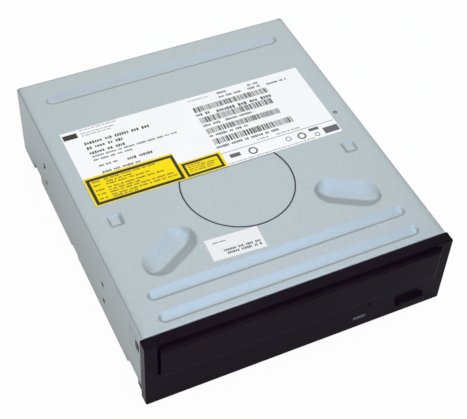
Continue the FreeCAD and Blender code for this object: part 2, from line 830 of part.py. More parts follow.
def top_cover():
    """Folded steel cover: roof, two side walls and a short rear flange."""
    block = new_body("cover_block")
    outline = new_sketch(block, "XZ_Plane", "case_depth")
    add_rectangle(outline, centred("case_side"), ("0", "case_height"))
    bar = pad(block, outline, "case_depth")
    middle = SIZES["case_height"] / 2
    round_edges(block, bar, V(0, 1, 0), "fold_round", lambda centre: centre.z > middle)
    inside = box(
        "cover_inside",
        centred("wall_inside"),
        ("-1 * sheet_thick", "rear_inside"),
        ("-1 * sheet_thick", "cover_under"),
    )
    rear = box(
        "cover_rear_opening",
        centred("wall_inside"),
        ("rear_inside - sheet_thick", "case_depth + sheet_thick"),
        ("-1 * sheet_thick", "rear_split"),
    )
    presses = [
        pressing(
            "front_rib",
            "0",
            "front_rib_y",
            "rib_half_length",
            "front_rib_width",
            "rib_depth",
            "rib_slope",
        ),
        pressing(
            "second_rib",
            "0",
            "second_rib_y",
            "rib_half_length",
            "front_rib_width",
            "rib_depth",
            "rib_slope",
        ),
        pressing(
            "rear_rib",
            "0",
            "rear_rib_y",
            "rib_half_length",
            "rear_rib_width",
            "rib_depth",
            "rib_slope",
        ),
        disc_pressing(),
    ]
    for side, sign in (("left", "-"), ("right", "")):
        turn = "dish_turn" if side == "left" else "-dish_turn"
        place = (f"{sign}dish_x", "dish_y", "dish_length / 2", "dish_width", "dish_depth", "dish_slope")
        presses.append(pressing(f"{side}_dish", *place, turn=turn))
        presses.append(square_pressing(f"{side}_square", f"{sign}square_x", "square_y"))
    collars = []
    holes = []
    for y in ("side_hole_front", "side_hole_rear"):
        for z in ("side_hole_low", "side_hole_high"):
            for start in ("-1 * wall_inside", "wall_inside - collar_length"):
                collars.append(rod("cover_collar", "collar_radius", (start, y, z), "collar_length", "x"))
            holes.append(
                rod("cover_hole", "fixing_radius", ("-1 * case_width", y, z), "2 * case_width", "x")
            )
    across = centred("case_width")
    notches = [
        ("front_notch_start", "front_notch_end", "front_notch_height"),
        ("mid_notch_start", "mid_notch_end", "mid_notch_height"),
        ("rear_notch_start", "rear_notch_end", "rear_notch_height"),
    ]
    for start, end, height in notches:
        holes.append(box("cover_notch", across, (start, end), ("-1 * sheet_thick", height)))
    holes.append(
        box(
            "cover_front_corner",
            across,
            ("-1 * sheet_thick", "front_notch_start"),
            ("-1 * sheet_thick", "skirt_height + clip_play"),
        )
    )
    holes.append(
        box("clip_slot", across, ("clip_slot_start", "clip_slot_end"), ("clip_slot_low", "clip_slot_high"))
    )
    patch_spans = (
        ("-1 * case_width", "-1 * case_side + clip_patch_depth"),
        ("case_side - clip_patch_depth", "case_width"),
    )
    for span in patch_spans:
        holes.append(
            box(
                "clip_patch",
                span,
                ("-1 * sheet_thick", "clip_patch_end"),
                ("clip_patch_low", "clip_patch_high"),
            )
        )
    corner = box("cover_rear_corner", across, ("0", "corner_cut * sqrt(2)"), ("0", "corner_cut * sqrt(2)"))
    corner.Placement = FreeCAD.Placement(V(), FreeCAD.Rotation(V(1, 0, 0), 45))
    bind(corner, Placement__Base__y="case_depth", Placement__Base__z="-1 * corner_cut")
    holes.append(corner)
    shell = cut("cover_shell", block, inside, rear)
    pressed = fuse("cover_pressed", shell, *[bulge for bulge, hollow in presses], *collars)
    keep(cut("cover_finished", pressed, *holes, *[hollow for bulge, hollow in presses]), "top_cover")


def bottom_cover():
    """Folded steel base: side flanges, tapped fixing holes and a rear wall with connector cut-outs."""
    floor = box("base_floor", centred("case_side"), ("0", "case_depth"), ("0", "sheet_thick"))
    floor_sides = [
        box(
            "base_edge",
            (low, high),
            ("-1 * sheet_thick", "case_depth + sheet_thick"),
            ("-1 * sheet_thick", "2 * sheet_thick"),
        )
        for low, high in (("-1 * case_width", "-1 * flange_outside"), ("flange_outside", "case_width"))
    ]
    skirt_ends = [
        box(
            "base_corner",
            (low, high),
            ("-1 * sheet_thick", "skirt_depth + clip_play"),
            ("-1 * sheet_thick", "2 * sheet_thick"),
        )
        for low, high in (("-1 * case_width", "-1 * skirt_inner"), ("skirt_inner", "case_width"))
    ]
    plate = cut("base_plate", floor, *floor_sides, *skirt_ends)
    flanges = [
        box("base_flange", span, ("skirt_depth + clip_play", "rear_inside"), ("0", "flange_height"))
        for span in (
            ("-1 * flange_outside", "-1 * flange_outside + sheet_thick"),
            ("flange_outside - sheet_thick", "flange_outside"),
        )
    ]
    wall = box(
        "base_rear_wall",
        centred("flange_outside"),
        ("rear_inside", "case_depth"),
        ("0", "rear_split - cover_gap"),
    )
    collars = []
    holes = []
    for x, y in corners("under_hole_x", ("side_hole_front", "side_hole_rear")):
        collars.append(
            rod("base_collar", "collar_radius - cover_gap", (x, y, "sheet_thick"), "collar_length")
        )
        holes.append(rod("base_hole", "fixing_radius", (x, y, "-1 * sheet_thick"), "4 * collar_length"))
    for x, y in corners("cover_screw_x", ("cover_screw_front", "cover_screw_rear")):
        holes.append(
            rod(
                "base_screw_hole",
                "screw_shank_radius + screw_play",
                (x, y, "-1 * sheet_thick"),
                "4 * sheet_thick",
            )
        )
        seat = (x, y, "-1 * sheet_thick")
        holes.append(
            rod("base_screw_seat", "screw_head_radius + screw_play", seat, "sheet_thick + cover_screw_head")
        )
        collars.append(
            rod(
                "base_screw_dimple",
                "screw_head_radius + screw_play + 0.5 * sheet_thick",
                (x, y, "0"),
                "cover_screw_head + sheet_thick",
            )
        )
    outlets = [
        ("data_x", "data_width", "data_height"),
        ("power_x", "power_width", "power_height"),
        ("jumper_x", "jumper_width", "data_height"),
        ("audio_x", "audio_width", "audio_height"),
    ]
    for x, width, height in outlets:
        span = centred(f"{width} / 2 + panel_gap", x)
        rise = ("board_top - panel_gap", f"board_top + {height} + panel_gap")
        holes.append(
            box("base_outlet", span, ("rear_inside - sheet_thick", "case_depth + sheet_thick"), rise)
        )
    whole = fuse("base_blank", plate, *flanges, wall, *collars)
    keep(cut("base_finished", whole, *holes), "bottom_cover")
    screws = [
        screw(
            f"cover_screw_{i}",
            (x, y, "cover_screw_head"),
            "screw_head_radius",
            "cover_screw_head - 0.1",
            "screw_shank_radius",
            "cover_screw_length",
            head_up=False,
        )
        for i, (x, y) in enumerate(corners("cover_screw_x", ("cover_screw_front", "cover_screw_rear")))
    ]
    keep(group("cover_screw_set", screws), "cover_screws")


def front_bezel():
    """Moulded front with the drawer opening, the button and light openings, side clips and lower skirts."""
    body = new_body("bezel_plate")
    outline = new_sketch(body, "XZ_Plane", "0")
    add_rectangle(outline, centred("bezel_width / 2"), ("-bezel_drop", "bezel_top"))
    slab = pad(body, outline, "bezel_thick")
    rim = round_edges(body, slab, V(0, 1, 0), "bezel_round")
    round_front(body, rim, -SIZES["bezel_thick"], "bezel_round / 2")
    opening = new_sketch(body, "XZ_Plane", "front_y")
    add_rectangle(
        opening,
        centred("door_width / 2 + door_gap"),
        ("door_base - door_gap", "door_top + door_gap"),
    )
    add_rectangle(
        opening,
        centred("button_width / 2 + button_gap", "button_x"),
        centred("button_height / 2 + button_gap", "button_z"),
    )
    add_rectangle(
        opening,
        centred("light_width / 2 + light_play", "light_x"),
        centred("light_height / 2 + light_play", "light_z"),
    )
    add_circle(opening, "pinhole_x", "pinhole_z", "pinhole_radius")
    pocket(body, opening, "bezel_thick")
    skirts = [
        box("bezel_skirt", span, ("0", "skirt_depth"), ("0", "skirt_height"))
        for span in (
            ("-1 * case_side", "-1 * case_side + skirt_width"),
            ("case_side - skirt_width", "case_side"),
        )
    ]
    arms = []
    for side in ("-1", "1"):
        inner = f"{side} * (wall_inside - cover_gap - clip_arm_thick)"
        outer = f"{side} * (wall_inside - cover_gap)"
        tip = f"{side} * (case_side - clip_patch_depth)"
        spans = ((outer, inner), (tip, inner)) if side == "-1" else ((inner, outer), (inner, tip))
        rise = ("clip_slot_low + clip_play", "clip_slot_high - clip_play")
        arms.append(box("bezel_arm", spans[0], ("0", "clip_arm_length"), rise))
        arms.append(
            box("bezel_nub", spans[1], ("clip_slot_start + clip_play", "clip_slot_end - clip_play"), rise)
        )
    keep(fuse("bezel_finished", body, *skirts, *arms), "front_bezel")
    pipe = box(
        "light_bar",
        centred("light_width / 2", "light_x"),
        ("front_y - light_proud", "front_wall_y"),
        centred("light_height / 2", "light_z"),
    )
    keep(pipe, "light_pipe")


def tray_door():
    """The drawer front, hollow behind and closed by the tray's front wall."""
    body = new_body("door_shell")
    outline = new_sketch(body, "XZ_Plane", "0")
    add_rectangle(outline, centred("door_width / 2"), ("door_base", "door_top"))
    slab = pad(body, outline, "bezel_thick + door_proud")
    rim = round_edges(body, slab, V(0, 1, 0), "door_round")
    round_front(body, rim, -SIZES["bezel_thick"] - SIZES["door_proud"], "door_round")
    hollow = new_sketch(body, "XZ_Plane", "door_front + door_wall")
    add_rectangle(
        hollow,
        centred("door_width / 2 - door_wall"),
        ("door_base + door_wall", "door_top - door_wall"),
    )
    pocket(body, hollow, "bezel_thick + door_proud - door_wall")
    keep(body, "tray_door")


def eject_button():
    """The button with its retaining flange and the stem that works the switch."""
    body = new_body("button_cap")
    outline = new_sketch(body, "XZ_Plane", "0")
    add_rectangle(
        outline,
        centred("button_width / 2", "button_x"),
        centred("button_height / 2", "button_z"),
    )
    slab = pad(body, outline, "bezel_thick + button_proud")
    rim = round_edges(body, slab, V(0, 1, 0), "button_round")
    round_front(body, rim, -SIZES["bezel_thick"] - SIZES["button_proud"], "button_round / 3")
    neck = box(
        "button_neck",
        centred("button_width / 2 - button_round", "button_x"),
        ("0", "cover_gap"),
        centred("button_height / 2 - 0.5", "button_z"),
    )
    flange = box(
        "button_plate",
        centred("button_width / 2 + 2 * button_gap", "button_x"),
        ("cover_gap", "cover_gap + button_flange"),
        centred("button_height / 2 + 2 * button_gap", "button_z"),
    )
    stem = box(
        "button_stem",
        centred("stem_side / 2", "button_x"),
        ("cover_gap + button_flange", "front_board_front - switch_tip - button_travel - cover_gap"),
        centred("stem_side / 2", "button_z"),
    )
    keep(fuse("button_finished", body, neck, flange, stem), "eject_button")


def toothed_rack(name, count, first, at):
    """A bar along +Y with teeth that point to +X; its own X starts at the teeth's root line."""
    body = new_body(name)
    bar = new_sketch(body, "XY_Plane")
    add_rectangle(bar, ("-rack_bar_width", "0"), ("2 * tray_wall", "tray_length"))
    pad(body, bar, "pinion_thick + gear_lift")
    outline = new_sketch(body, "XY_Plane")
    half = "(pi * rack_module / 4 - tooth_play / 4)"
    foot = f"({half} + tooth_root * rack_module * tan(tooth_angle))"
    tip = f"({half} - tooth_height * rack_module * tan(tooth_angle))"
    corners_of_tooth = [
        ("-0.5 * rack_bar_width", f"{first} - {foot}"),
        ("0", f"{first} - {foot}"),
        ("(tooth_root + tooth_height) * rack_module", f"{first} - {tip}"),
        ("(tooth_root + tooth_height) * rack_module", f"{first} + {tip}"),
        ("0", f"{first} + {foot}"),
        ("-0.5 * rack_bar_width", f"{first} + {foot}"),
    ]
    add_outline(outline, corners_of_tooth)
    tooth = pad(body, outline, "pinion_thick + gear_lift")
    row = body.newObject("PartDesign::LinearPattern", name + "_teeth")
    row.Originals = [tooth]
    row.Direction = (outline, ["V_Axis"])
    row.Occurrences = count
    bind(row, Length=f"{count - 1} * pi * rack_module")
    body.Tip = row
    return put(body, at)


def disc_tray():
    """The tray: two stepped disc recesses, a slot for the disc motor, runners and the toothed rack."""
    block = box("tray_block", centred("tray_side"), ("0", "tray_plate_end"), ("tray_base", "tray_rim"))
    under = box(
        "tray_under",
        centred("tray_side - tray_wall"),
        ("tray_wall", "tray_plate_end - tray_wall"),
        ("tray_base - 1 * tray_wall", "tray_rim - tray_wall"),
    )
    well = rod(
        "tray_well",
        "recess_radius + tray_wall",
        ("0", "spindle_y", "tray_base - 2 * tray_wall"),
        "3 * tray_height",
    )
    hollow = cut("tray_hollow", under, well)
    recess = rod("tray_recess", "recess_radius", ("0", "spindle_y", "recess_floor"), "2 * recess_depth")
    small = rod(
        "tray_small_recess",
        "small_recess_radius",
        ("0", "spindle_y", "small_floor"),
        "2 * recess_depth",
    )
    slot_round = rod(
        "tray_slot_end",
        "slot_half_width",
        ("0", "spindle_y", "tray_base - tray_height"),
        "3 * tray_height",
    )
    slot = box(
        "tray_slot",
        centred("slot_half_width"),
        ("spindle_y", "tray_length"),
        ("tray_base - tray_height", "tray_rim + tray_height"),
    )
    plate = cut("tray_plate", block, hollow, recess, small, slot_round, slot)
    parts = [plate]
    arm_rise = ("tray_base", "tray_base + tray_wall + small_recess_depth")
    arm_start = "tray_plate_end - tray_wall"
    parts.append(
        box("tray_left_arm", ("-1 * tray_side", "rack_root"), (arm_start, "tray_length"), arm_rise)
    )
    right_inner = "tray_side - 2 * runner_width"
    parts.append(box("tray_right_arm", (right_inner, "tray_side"), (arm_start, "tray_length"), arm_rise))
    for span in (
        ("-1 * tray_side", "-1 * tray_side + runner_width"),
        ("tray_side - runner_width", "tray_side"),
    ):
        parts.append(box("tray_runner", span, ("0", "tray_length"), ("runner_base", "tray_base")))
    count = int(measured("D1", "tray_length / (pi * rack_module)")) - 2
    first = "(drive_y - 3.5 * pi * rack_module)"
    parts.append(
        toothed_rack("tray_rack", count, first, ("rack_root", "0", "tray_base - pinion_thick - gear_lift"))
    )
    keep(fuse("tray_finished", *parts), "disc_tray")


def main_chassis():
    """The moulded chassis: walls, gear deck, cam wall, tray ledges, hooks, posts and hinge brackets."""
    floor = "sheet_thick"
    parts = []
    openings = []
    sides = (("-1 * chassis_outside", "-1 * chassis_inside"), ("chassis_inside", "chassis_outside"))
    for span in sides:
        parts.append(box("chassis_side", span, ("front_wall_y", "chassis_end"), (floor, "bridge_base")))
        for y in (
            ("front_wall_y", "front_wall_y + hook_length"),
            ("chassis_end - hook_length", "chassis_end"),
        ):
            parts.append(box("chassis_corner_post", span, y, ("bridge_base", "post_height")))
    inside = centred("chassis_inside")
    parts.append(
        box("chassis_front", inside, ("front_wall_y", "front_wall_back"), (floor, "front_wall_top"))
    )
    parts.append(
        box("chassis_deck", inside, ("front_wall_back", "cam_wall_back"), ("deck_base", "deck_top"))
    )
    parts.append(
        box(
            "chassis_cam_wall",
            centred("cam_wall_half"),
            ("deck_end", "cam_wall_back"),
            ("track_top - cam_track_thick", "deck_base"),
        )
    )
    track_end = "cam_back + cam_gap"
    parts.append(
        box(
            "chassis_track",
            centred("cam_wall_half"),
            ("cam_wall_back", track_end),
            ("track_top - cam_track_thick", "track_top"),
        )
    )
    for x in ("-cam_wall_half", "cam_wall_half - cam_track_thick"):
        stop = (x, f"{x} + cam_track_thick")
        parts.append(box("chassis_cam_stop", stop, ("cam_wall_back", track_end), ("track_top", "cam_top")))
    for span in (("-1 * chassis_inside", "-side_deck_inner"), ("side_deck_inner", "chassis_inside")):
        parts.append(
            box(
                "chassis_side_deck",
                span,
                ("cam_wall_back", "chassis_end"),
                ("deck_top - deck_thick", "deck_top"),
            )
        )
    beam = ("chassis_end - rear_beam_thick", "chassis_end")
    parts.append(box("chassis_rear_beam", inside, beam, ("deck_top", "ledge_top")))
    for sign in ("-1", "1"):
        edges = [f"{sign} * (chassis_inside - ledge_width)", f"{sign} * chassis_inside"]
        span = tuple(edges) if sign == "1" else tuple(reversed(edges))
        parts.append(
            box("chassis_ledge", span, ("front_wall_back", "chassis_end"), ("ledge_base", "ledge_top"))
        )
        edges = [f"{sign} * (chassis_inside - hook_width)", f"{sign} * chassis_inside"]
        span = tuple(edges) if sign == "1" else tuple(reversed(edges))
        for y in ("front_wall_y", "bridge_rear", "chassis_end - hook_length"):
            parts.append(
                box(
                    "chassis_hook",
                    span,
                    (y, f"{y} + hook_length"),
                    ("hook_base", "hook_base + hook_thick"),
                )
            )
        inner, outer = f"{sign} * (pivot_end - bracket_thick)", f"{sign} * (side_deck_inner + 0.1)"
        span = (inner, outer) if sign == "1" else (outer, inner)
        parts.append(
            box(
                "chassis_bracket",
                span,
                centred("bracket_half", "pivot_y"),
                ("pivot_level - bracket_half", "deck_top"),
            )
        )
        for y in ("post_front_y", "post_rear_y"):
            place = (f"{sign} * board_post_x", y, "board_top")
            parts.append(rod("chassis_board_post", "board_post_radius", place, "deck_base - board_top"))
            openings.append(
                rod(
                    "chassis_board_hole",
                    "screw_shank_radius",
                    place,
                    "deck_base - board_top - screw_shank_radius",
                )
            )
        for y in ("cover_screw_front", "cover_screw_rear"):
            place = (f"{sign} * cover_screw_x", y, "cover_screw_head + sheet_thick")
            boss = rod(
                "chassis_screw_boss",
                "screw_head_radius",
                place,
                "cover_screw_length + 3 * screw_play",
            )
            parts.append(boss)
            start = (place[0], place[1], "-1 * sheet_thick")
            openings.append(
                rod(
                    "chassis_screw_bore",
                    "screw_shank_radius",
                    start,
                    "cover_screw_head + cover_screw_length + sheet_thick + screw_play",
                )
            )
            clear = "screw_head_radius + screw_play + 0.5 * sheet_thick + screw_play"
            openings.append(
                rod("chassis_dimple", clear, (place[0], place[1], "0"), "cover_screw_head + sheet_thick")
            )
    for x in ("front_post_left", "front_post_right"):
        place = (x, "front_post_y", "front_board_top")
        parts.append(rod("chassis_front_post", "front_post_radius", place, "deck_base - front_board_top"))
        openings.append(
            rod(
                "chassis_front_bore",
                "screw_shank_radius",
                place,
                "deck_base - front_board_top - screw_shank_radius",
            )
        )
    for sign in ("-1", "1"):
        place = (f"{sign} * bridge_screw_x", "spindle_y", "bridge_base - bridge_boss_length")
        parts.append(rod("chassis_bridge_boss", "screw_head_radius", place, "bridge_boss_length"))
        place = (place[0], place[1], "bridge_base - bridge_boss_length + screw_shank_radius")
        openings.append(rod("chassis_bridge_bore", "screw_shank_radius", place, "bridge_boss_length"))
    posts = [("drive_x", "drive_y", "pinion_top"), ("pulley_x", "drive_y", "gear_top")]
    for x, y, top in posts:
        parts.append(rod("chassis_gear_post", "gear_post_radius", (x, y, "deck_top"), f"{top} - deck_top"))
    openings.append(
        rod(
            "chassis_motor_hole",
            "motor_boss_radius + motor_shaft_radius",
            ("motor_x", "motor_y", "deck_base - deck_thick"),
            "3 * deck_thick",
        )
    )
    for sign in ("-1", "1"):
        place = (f"motor_x + {sign} * motor_screw_pitch / 2", "motor_y", "deck_base - deck_thick")
        openings.append(
            rod("chassis_motor_screw_hole", "motor_screw_radius + screw_play", place, "3 * deck_thick")
        )
    front = ("front_wall_y - 1 * chassis_wall", "front_wall_back + chassis_wall")
    openings.append(
        box(
            "chassis_button_gap",
            centred("button_width / 2 + 3 * button_gap", "button_x"),
            front,
            centred("button_height / 2 + 3 * button_gap", "button_z"),
        )
    )
    openings.append(
        box(
            "chassis_light_gap",
            centred("light_width / 2 + button_gap", "light_x"),
            front,
            centred("light_height / 2 + button_gap", "light_z"),
        )
    )
    openings.append(
        rod(
            "chassis_pinhole",
            "1.5 * pinhole_radius",
            ("pinhole_x", "-1 * sheet_thick", "pinhole_z"),
            "front_wall_back + 2",
            "y",
        )
    )
    for sign in ("-1", "1"):
        openings.append(
            rod(
                "chassis_pivot_hole",
                "pivot_radius + pivot_play",
                (
                    f"-1.5 * bracket_thick + {sign} * (pivot_end - bracket_thick / 2)",
                    "pivot_y",
                    "pivot_level",
                ),
                "3 * bracket_thick",
                "x",
            )
        )
    keep(cut("chassis_finished", fuse("chassis_blank", *parts), *openings), "main_chassis")


def clamp():
    """The bridge over the tray, its screws, and the magnetic clamp that hangs in it."""
    strip = box(
        "bridge_strip",
        centred("bridge_screw_x + screw_head_radius"),
        ("bridge_front", "bridge_rear"),
        ("bridge_base", "bridge_top"),
    )
    holes = [
        rod(
            "bridge_hole",
            "bridge_hole_radius",
            ("0", "spindle_y", "bridge_base - bridge_thick"),
            "3 * bridge_thick",
        )
    ]
    screws = []
    for sign in ("-1", "1"):
        x = f"{sign} * bridge_screw_x"
        place = (x, "spindle_y", "bridge_base - bridge_thick")
        holes.append(rod("bridge_screw_hole", "screw_shank_radius + screw_play", place, "3 * bridge_thick"))
        length = "bridge_thick + bridge_boss_length - 3 * screw_shank_radius"
        screws.append(
            screw(
                f"bridge_screw_{len(screws)}",
                (x, "spindle_y", "bridge_top"),
                "screw_head_radius",
                "screw_head_height",
                "screw_shank_radius - bore_play",
                length,
            )
        )
    keep(cut("bridge_finished", strip, *holes), "clamp_bridge")
    keep(group("bridge_screw_set", screws), "bridge_screws")
    flange_low, flange_high = "clamp_flange_base - clamp_base", "clamp_top - clamp_base"
    outline = [
        ("0", "clamp_pocket_depth"),
        ("clamp_pocket_radius", "clamp_pocket_depth"),
        ("clamp_pocket_radius", "0"),
        ("clamp_radius", "0"),
        ("clamp_radius", flange_low),
        ("clamp_flange_radius", flange_low),
        ("clamp_flange_radius", flange_high),
        ("yoke_radius + screw_play", flange_high),
        ("yoke_radius + screw_play", f"{flange_high} - yoke_thick"),
        ("0", f"{flange_high} - yoke_thick"),
    ]
    keep(turned("clamp_body", outline, ("0", "spindle_y", "clamp_base")), "clamp_disc")
    keep(
        rod("clamp_plate", "yoke_radius", ("0", "spindle_y", "clamp_top - yoke_thick"), "yoke_thick"),
        "clamp_yoke",
    )


def loading_drive():
    """Motor, belt and wheels under the tray's front."""
    top, boss = "motor_height", "motor_height + motor_boss_height"
    outline = [
        ("0", "0"),
        ("motor_radius", "0"),
        ("motor_radius", top),
        ("motor_boss_radius", top),
        ("motor_boss_radius", boss),
        ("motor_shaft_radius", boss),
        ("motor_shaft_radius", "pulley_high - motor_top + motor_height"),
        ("0", "pulley_high - motor_top + motor_height"),
    ]
    can = turned("motor_can", outline, ("motor_x", "motor_y", "motor_top - motor_height"))
    bores = []
    screws = []
    for sign in ("-1", "1"):
        x = f"motor_x + {sign} * motor_screw_pitch / 2"
        place = (x, "motor_y", "motor_top - motor_screw_bite - screw_play")
        bores.append(rod("motor_bore_hole", "motor_screw_radius", place, "2 * motor_screw_bite"))
        length = "deck_thick + motor_screw_bite"
        screws.append(
            screw(
                f"motor_screw_{len(screws)}",
                (x, "motor_y", "deck_top"),
                "motor_screw_head",
                "motor_screw_rise",
                "motor_screw_radius - bore_play",
                length,
            )
        )
    keep(cut("motor_finished", can, *bores), "loading_motor")
    keep(group("motor_screw_set", screws), "motor_screws")
    keep(
        pulley(
            "motor_wheel",
            "small_pulley_radius",
            "motor_shaft_radius + shaft_play",
            "motor_x",
            "motor_y",
            "pulley_low",
        ),
        "motor_pulley",
    )
    drive = toothed(
        "drive_wheel",
        "gear_module",
        "drive_teeth",
        "gear_thick",
        ("drive_x", "drive_y", "gear_level"),
        "180 / drive_teeth",
    )
    pinion = toothed(
        "drive_pinion",
        "rack_module",
        "drive_pinion_teeth",
        "pinion_top - gear_top",
        ("drive_x", "drive_y", "gear_top"),
        "180 / drive_pinion_teeth",
    )
    hub = rod(
        "drive_hub",
        "gear_hub_radius",
        ("drive_x", "drive_y", "deck_top + gear_lift"),
        "pinion_top - deck_top - gear_lift",
    )
    bore = rod(
        "drive_bore",
        "gear_post_radius + post_play",
        ("drive_x", "drive_y", "deck_top"),
        "pinion_top",
    )
    keep(cut("drive_finished", fuse("drive_blank", drive, pinion, hub), bore), "drive_gear")
    wheel = pulley(
        "pulley_wheel",
        "large_pulley_radius",
        "gear_post_radius",
        "pulley_x",
        "drive_y",
        "pulley_low",
    )
    pinion = toothed(
        "pulley_pinion",
        "gear_module",
        "pulley_pinion_teeth",
        "gear_top - pulley_high",
        ("pulley_x", "drive_y", "pulley_high"),
        "0",
    )
    hub = rod(
        "pulley_hub",
        "gear_hub_radius",
        ("pulley_x", "drive_y", "deck_top + gear_lift"),
        "pulley_high - deck_top - gear_lift",
    )
    bore = rod(
        "pulley_bore",
        "gear_post_radius + post_play",
        ("pulley_x", "drive_y", "deck_top"),
        "gear_top",
    )
    keep(cut("pulley_finished", fuse("pulley_blank", wheel, pinion, hub), bore), "pulley_gear")
    keep(belt(), "drive_belt")


def pulley(name, radius, bore, x, y, base):
    """A belt wheel with two rims and a square groove."""
    rim = f"({radius} + belt_thick)"
    groove = f"({radius} - 0.05)"
    outline = [
        (bore, "0"),
        (rim, "0"),
        (rim, "pulley_rim"),
        (groove, "pulley_rim"),
        (groove, "pulley_width - pulley_rim"),
        (rim, "pulley_width - pulley_rim"),
        (rim, "pulley_width"),
        (bore, "pulley_width"),
    ]
    return turned(name, outline, (x, y, base))


def loop_face(centre_a, radius_a, centre_b, radius_b):
    """The flat shape inside a belt line that runs round two wheels."""
    span = centre_b - centre_a
    lean = math.acos((radius_b - radius_a) / span.Length)
    aim = math.atan2(span.y, span.x)
    ends = []
    for side in (-1, 1):
        angle = aim + math.pi + side * lean
        out = V(math.cos(angle), math.sin(angle), 0)
        ends.append((centre_a + out * radius_a, centre_b + out * radius_b))
    back = V(math.cos(aim + math.pi), math.sin(aim + math.pi), 0)
    (low_a, low_b), (high_a, high_b) = ends
    edges = [
        Part.Arc(low_a, centre_a + back * radius_a, high_a).toShape(),
        Part.LineSegment(high_a, high_b).toShape(),
        Part.Arc(high_b, centre_b - back * radius_b, low_b).toShape(),
        Part.LineSegment(low_b, low_a).toShape(),
    ]
    return Part.Face(Part.Wire(Part.__sortEdges__(edges)))


def belt():
    """A square rubber belt round the two pulleys."""
    thick = SIZES["belt_thick"]
    large = V(measured("D2", "pulley_x"), SIZES["drive_y"], 0)
    small = V(SIZES["motor_x"], SIZES["motor_y"], 0)
    large_radius, small_radius = SIZES["large_pulley_radius"], SIZES["small_pulley_radius"]
    outer = loop_face(small, small_radius + thick, large, large_radius + thick)
    inner = loop_face(small, small_radius, large, large_radius)
    loop = doc.addObject("Part::Feature", "belt_loop")
    loop.Shape = outer.cut(inner).extrude(V(0, 0, thick))
    bind(loop, Placement__Base__z="pulley_z - belt_thick / 2")
    return loop


def cam_slider():
    """The slider: an upright plate with two slanted slots and a short rack on its arm."""
    plate = box("cam_plate", ("cam_left", "cam_right"), ("cam_front", "cam_back"), ("cam_base", "cam_top"))
    rise = ("pinion_base", "pinion_top")
    arm = box(
        "cam_arm",
        ("cam_arm_left", "cam_arm_right"),
        ("cam_front - cam_rack_reach", "cam_back"),
        rise,
    )
    riser = box(
        "cam_riser",
        ("cam_arm_left", "cam_arm_right"),
        ("cam_front", "cam_back"),
        ("cam_top", "pinion_top"),
    )
    tools = []
    count = int((SIZES["cam_arm_right"] - SIZES["cam_arm_left"]) / (math.pi * SIZES["rack_module"]))
    for index in range(count):
        start = f"cam_arm_left + ({index} + 0.5) * pi * rack_module"
        face = "cam_front - cam_rack_reach"
        tools.append(
            box(
                "cam_tooth_gap",
                (start, f"{start} + pi * rack_module / 2"),
                (f"{face} - rack_module", f"{face} + 1.5 * rack_module"),
                ("pinion_base - 1 * rack_module", "pinion_top + 1 * rack_module"),
            )
        )
    half = "(pin_radius + cam_play)"
    for x in ("pin_left_x", "pin_right_x"):
        high = (x, "cam_front - cam_gap", "pin_level")
        low = (f"{x} - cam_travel", "cam_front - cam_gap", "pin_level - pin_drop")
        depth = "cam_thick + 2 * cam_gap"
        tools.append(rod("cam_slot_high", half, high, depth, "y"))
        tools.append(rod("cam_slot_low", half, low, depth, "y"))
        middle = doc.addObject("Part::Box", "cam_slot_middle")
        bind(middle, Length="sqrt(cam_travel^2 + pin_drop^2)", Width=depth, Height=f"2 * {half}")
        middle.Placement = FreeCAD.Placement(V(), FreeCAD.Rotation(V(0, -1, 0), 1))
        slant = "atan(pin_drop / cam_travel)"
        bind(
            middle,
            Placement__Rotation__Angle=slant,
            Placement__Base__x=f"{low[0]} + {half} * sin({slant})",
            Placement__Base__y=low[1],
            Placement__Base__z=f"{low[2]} - {half} * cos({slant})",
        )
        tools.append(middle)
    keep(cut("cam_finished", fuse("cam_blank", plate, arm, riser), *tools), "cam_slider")


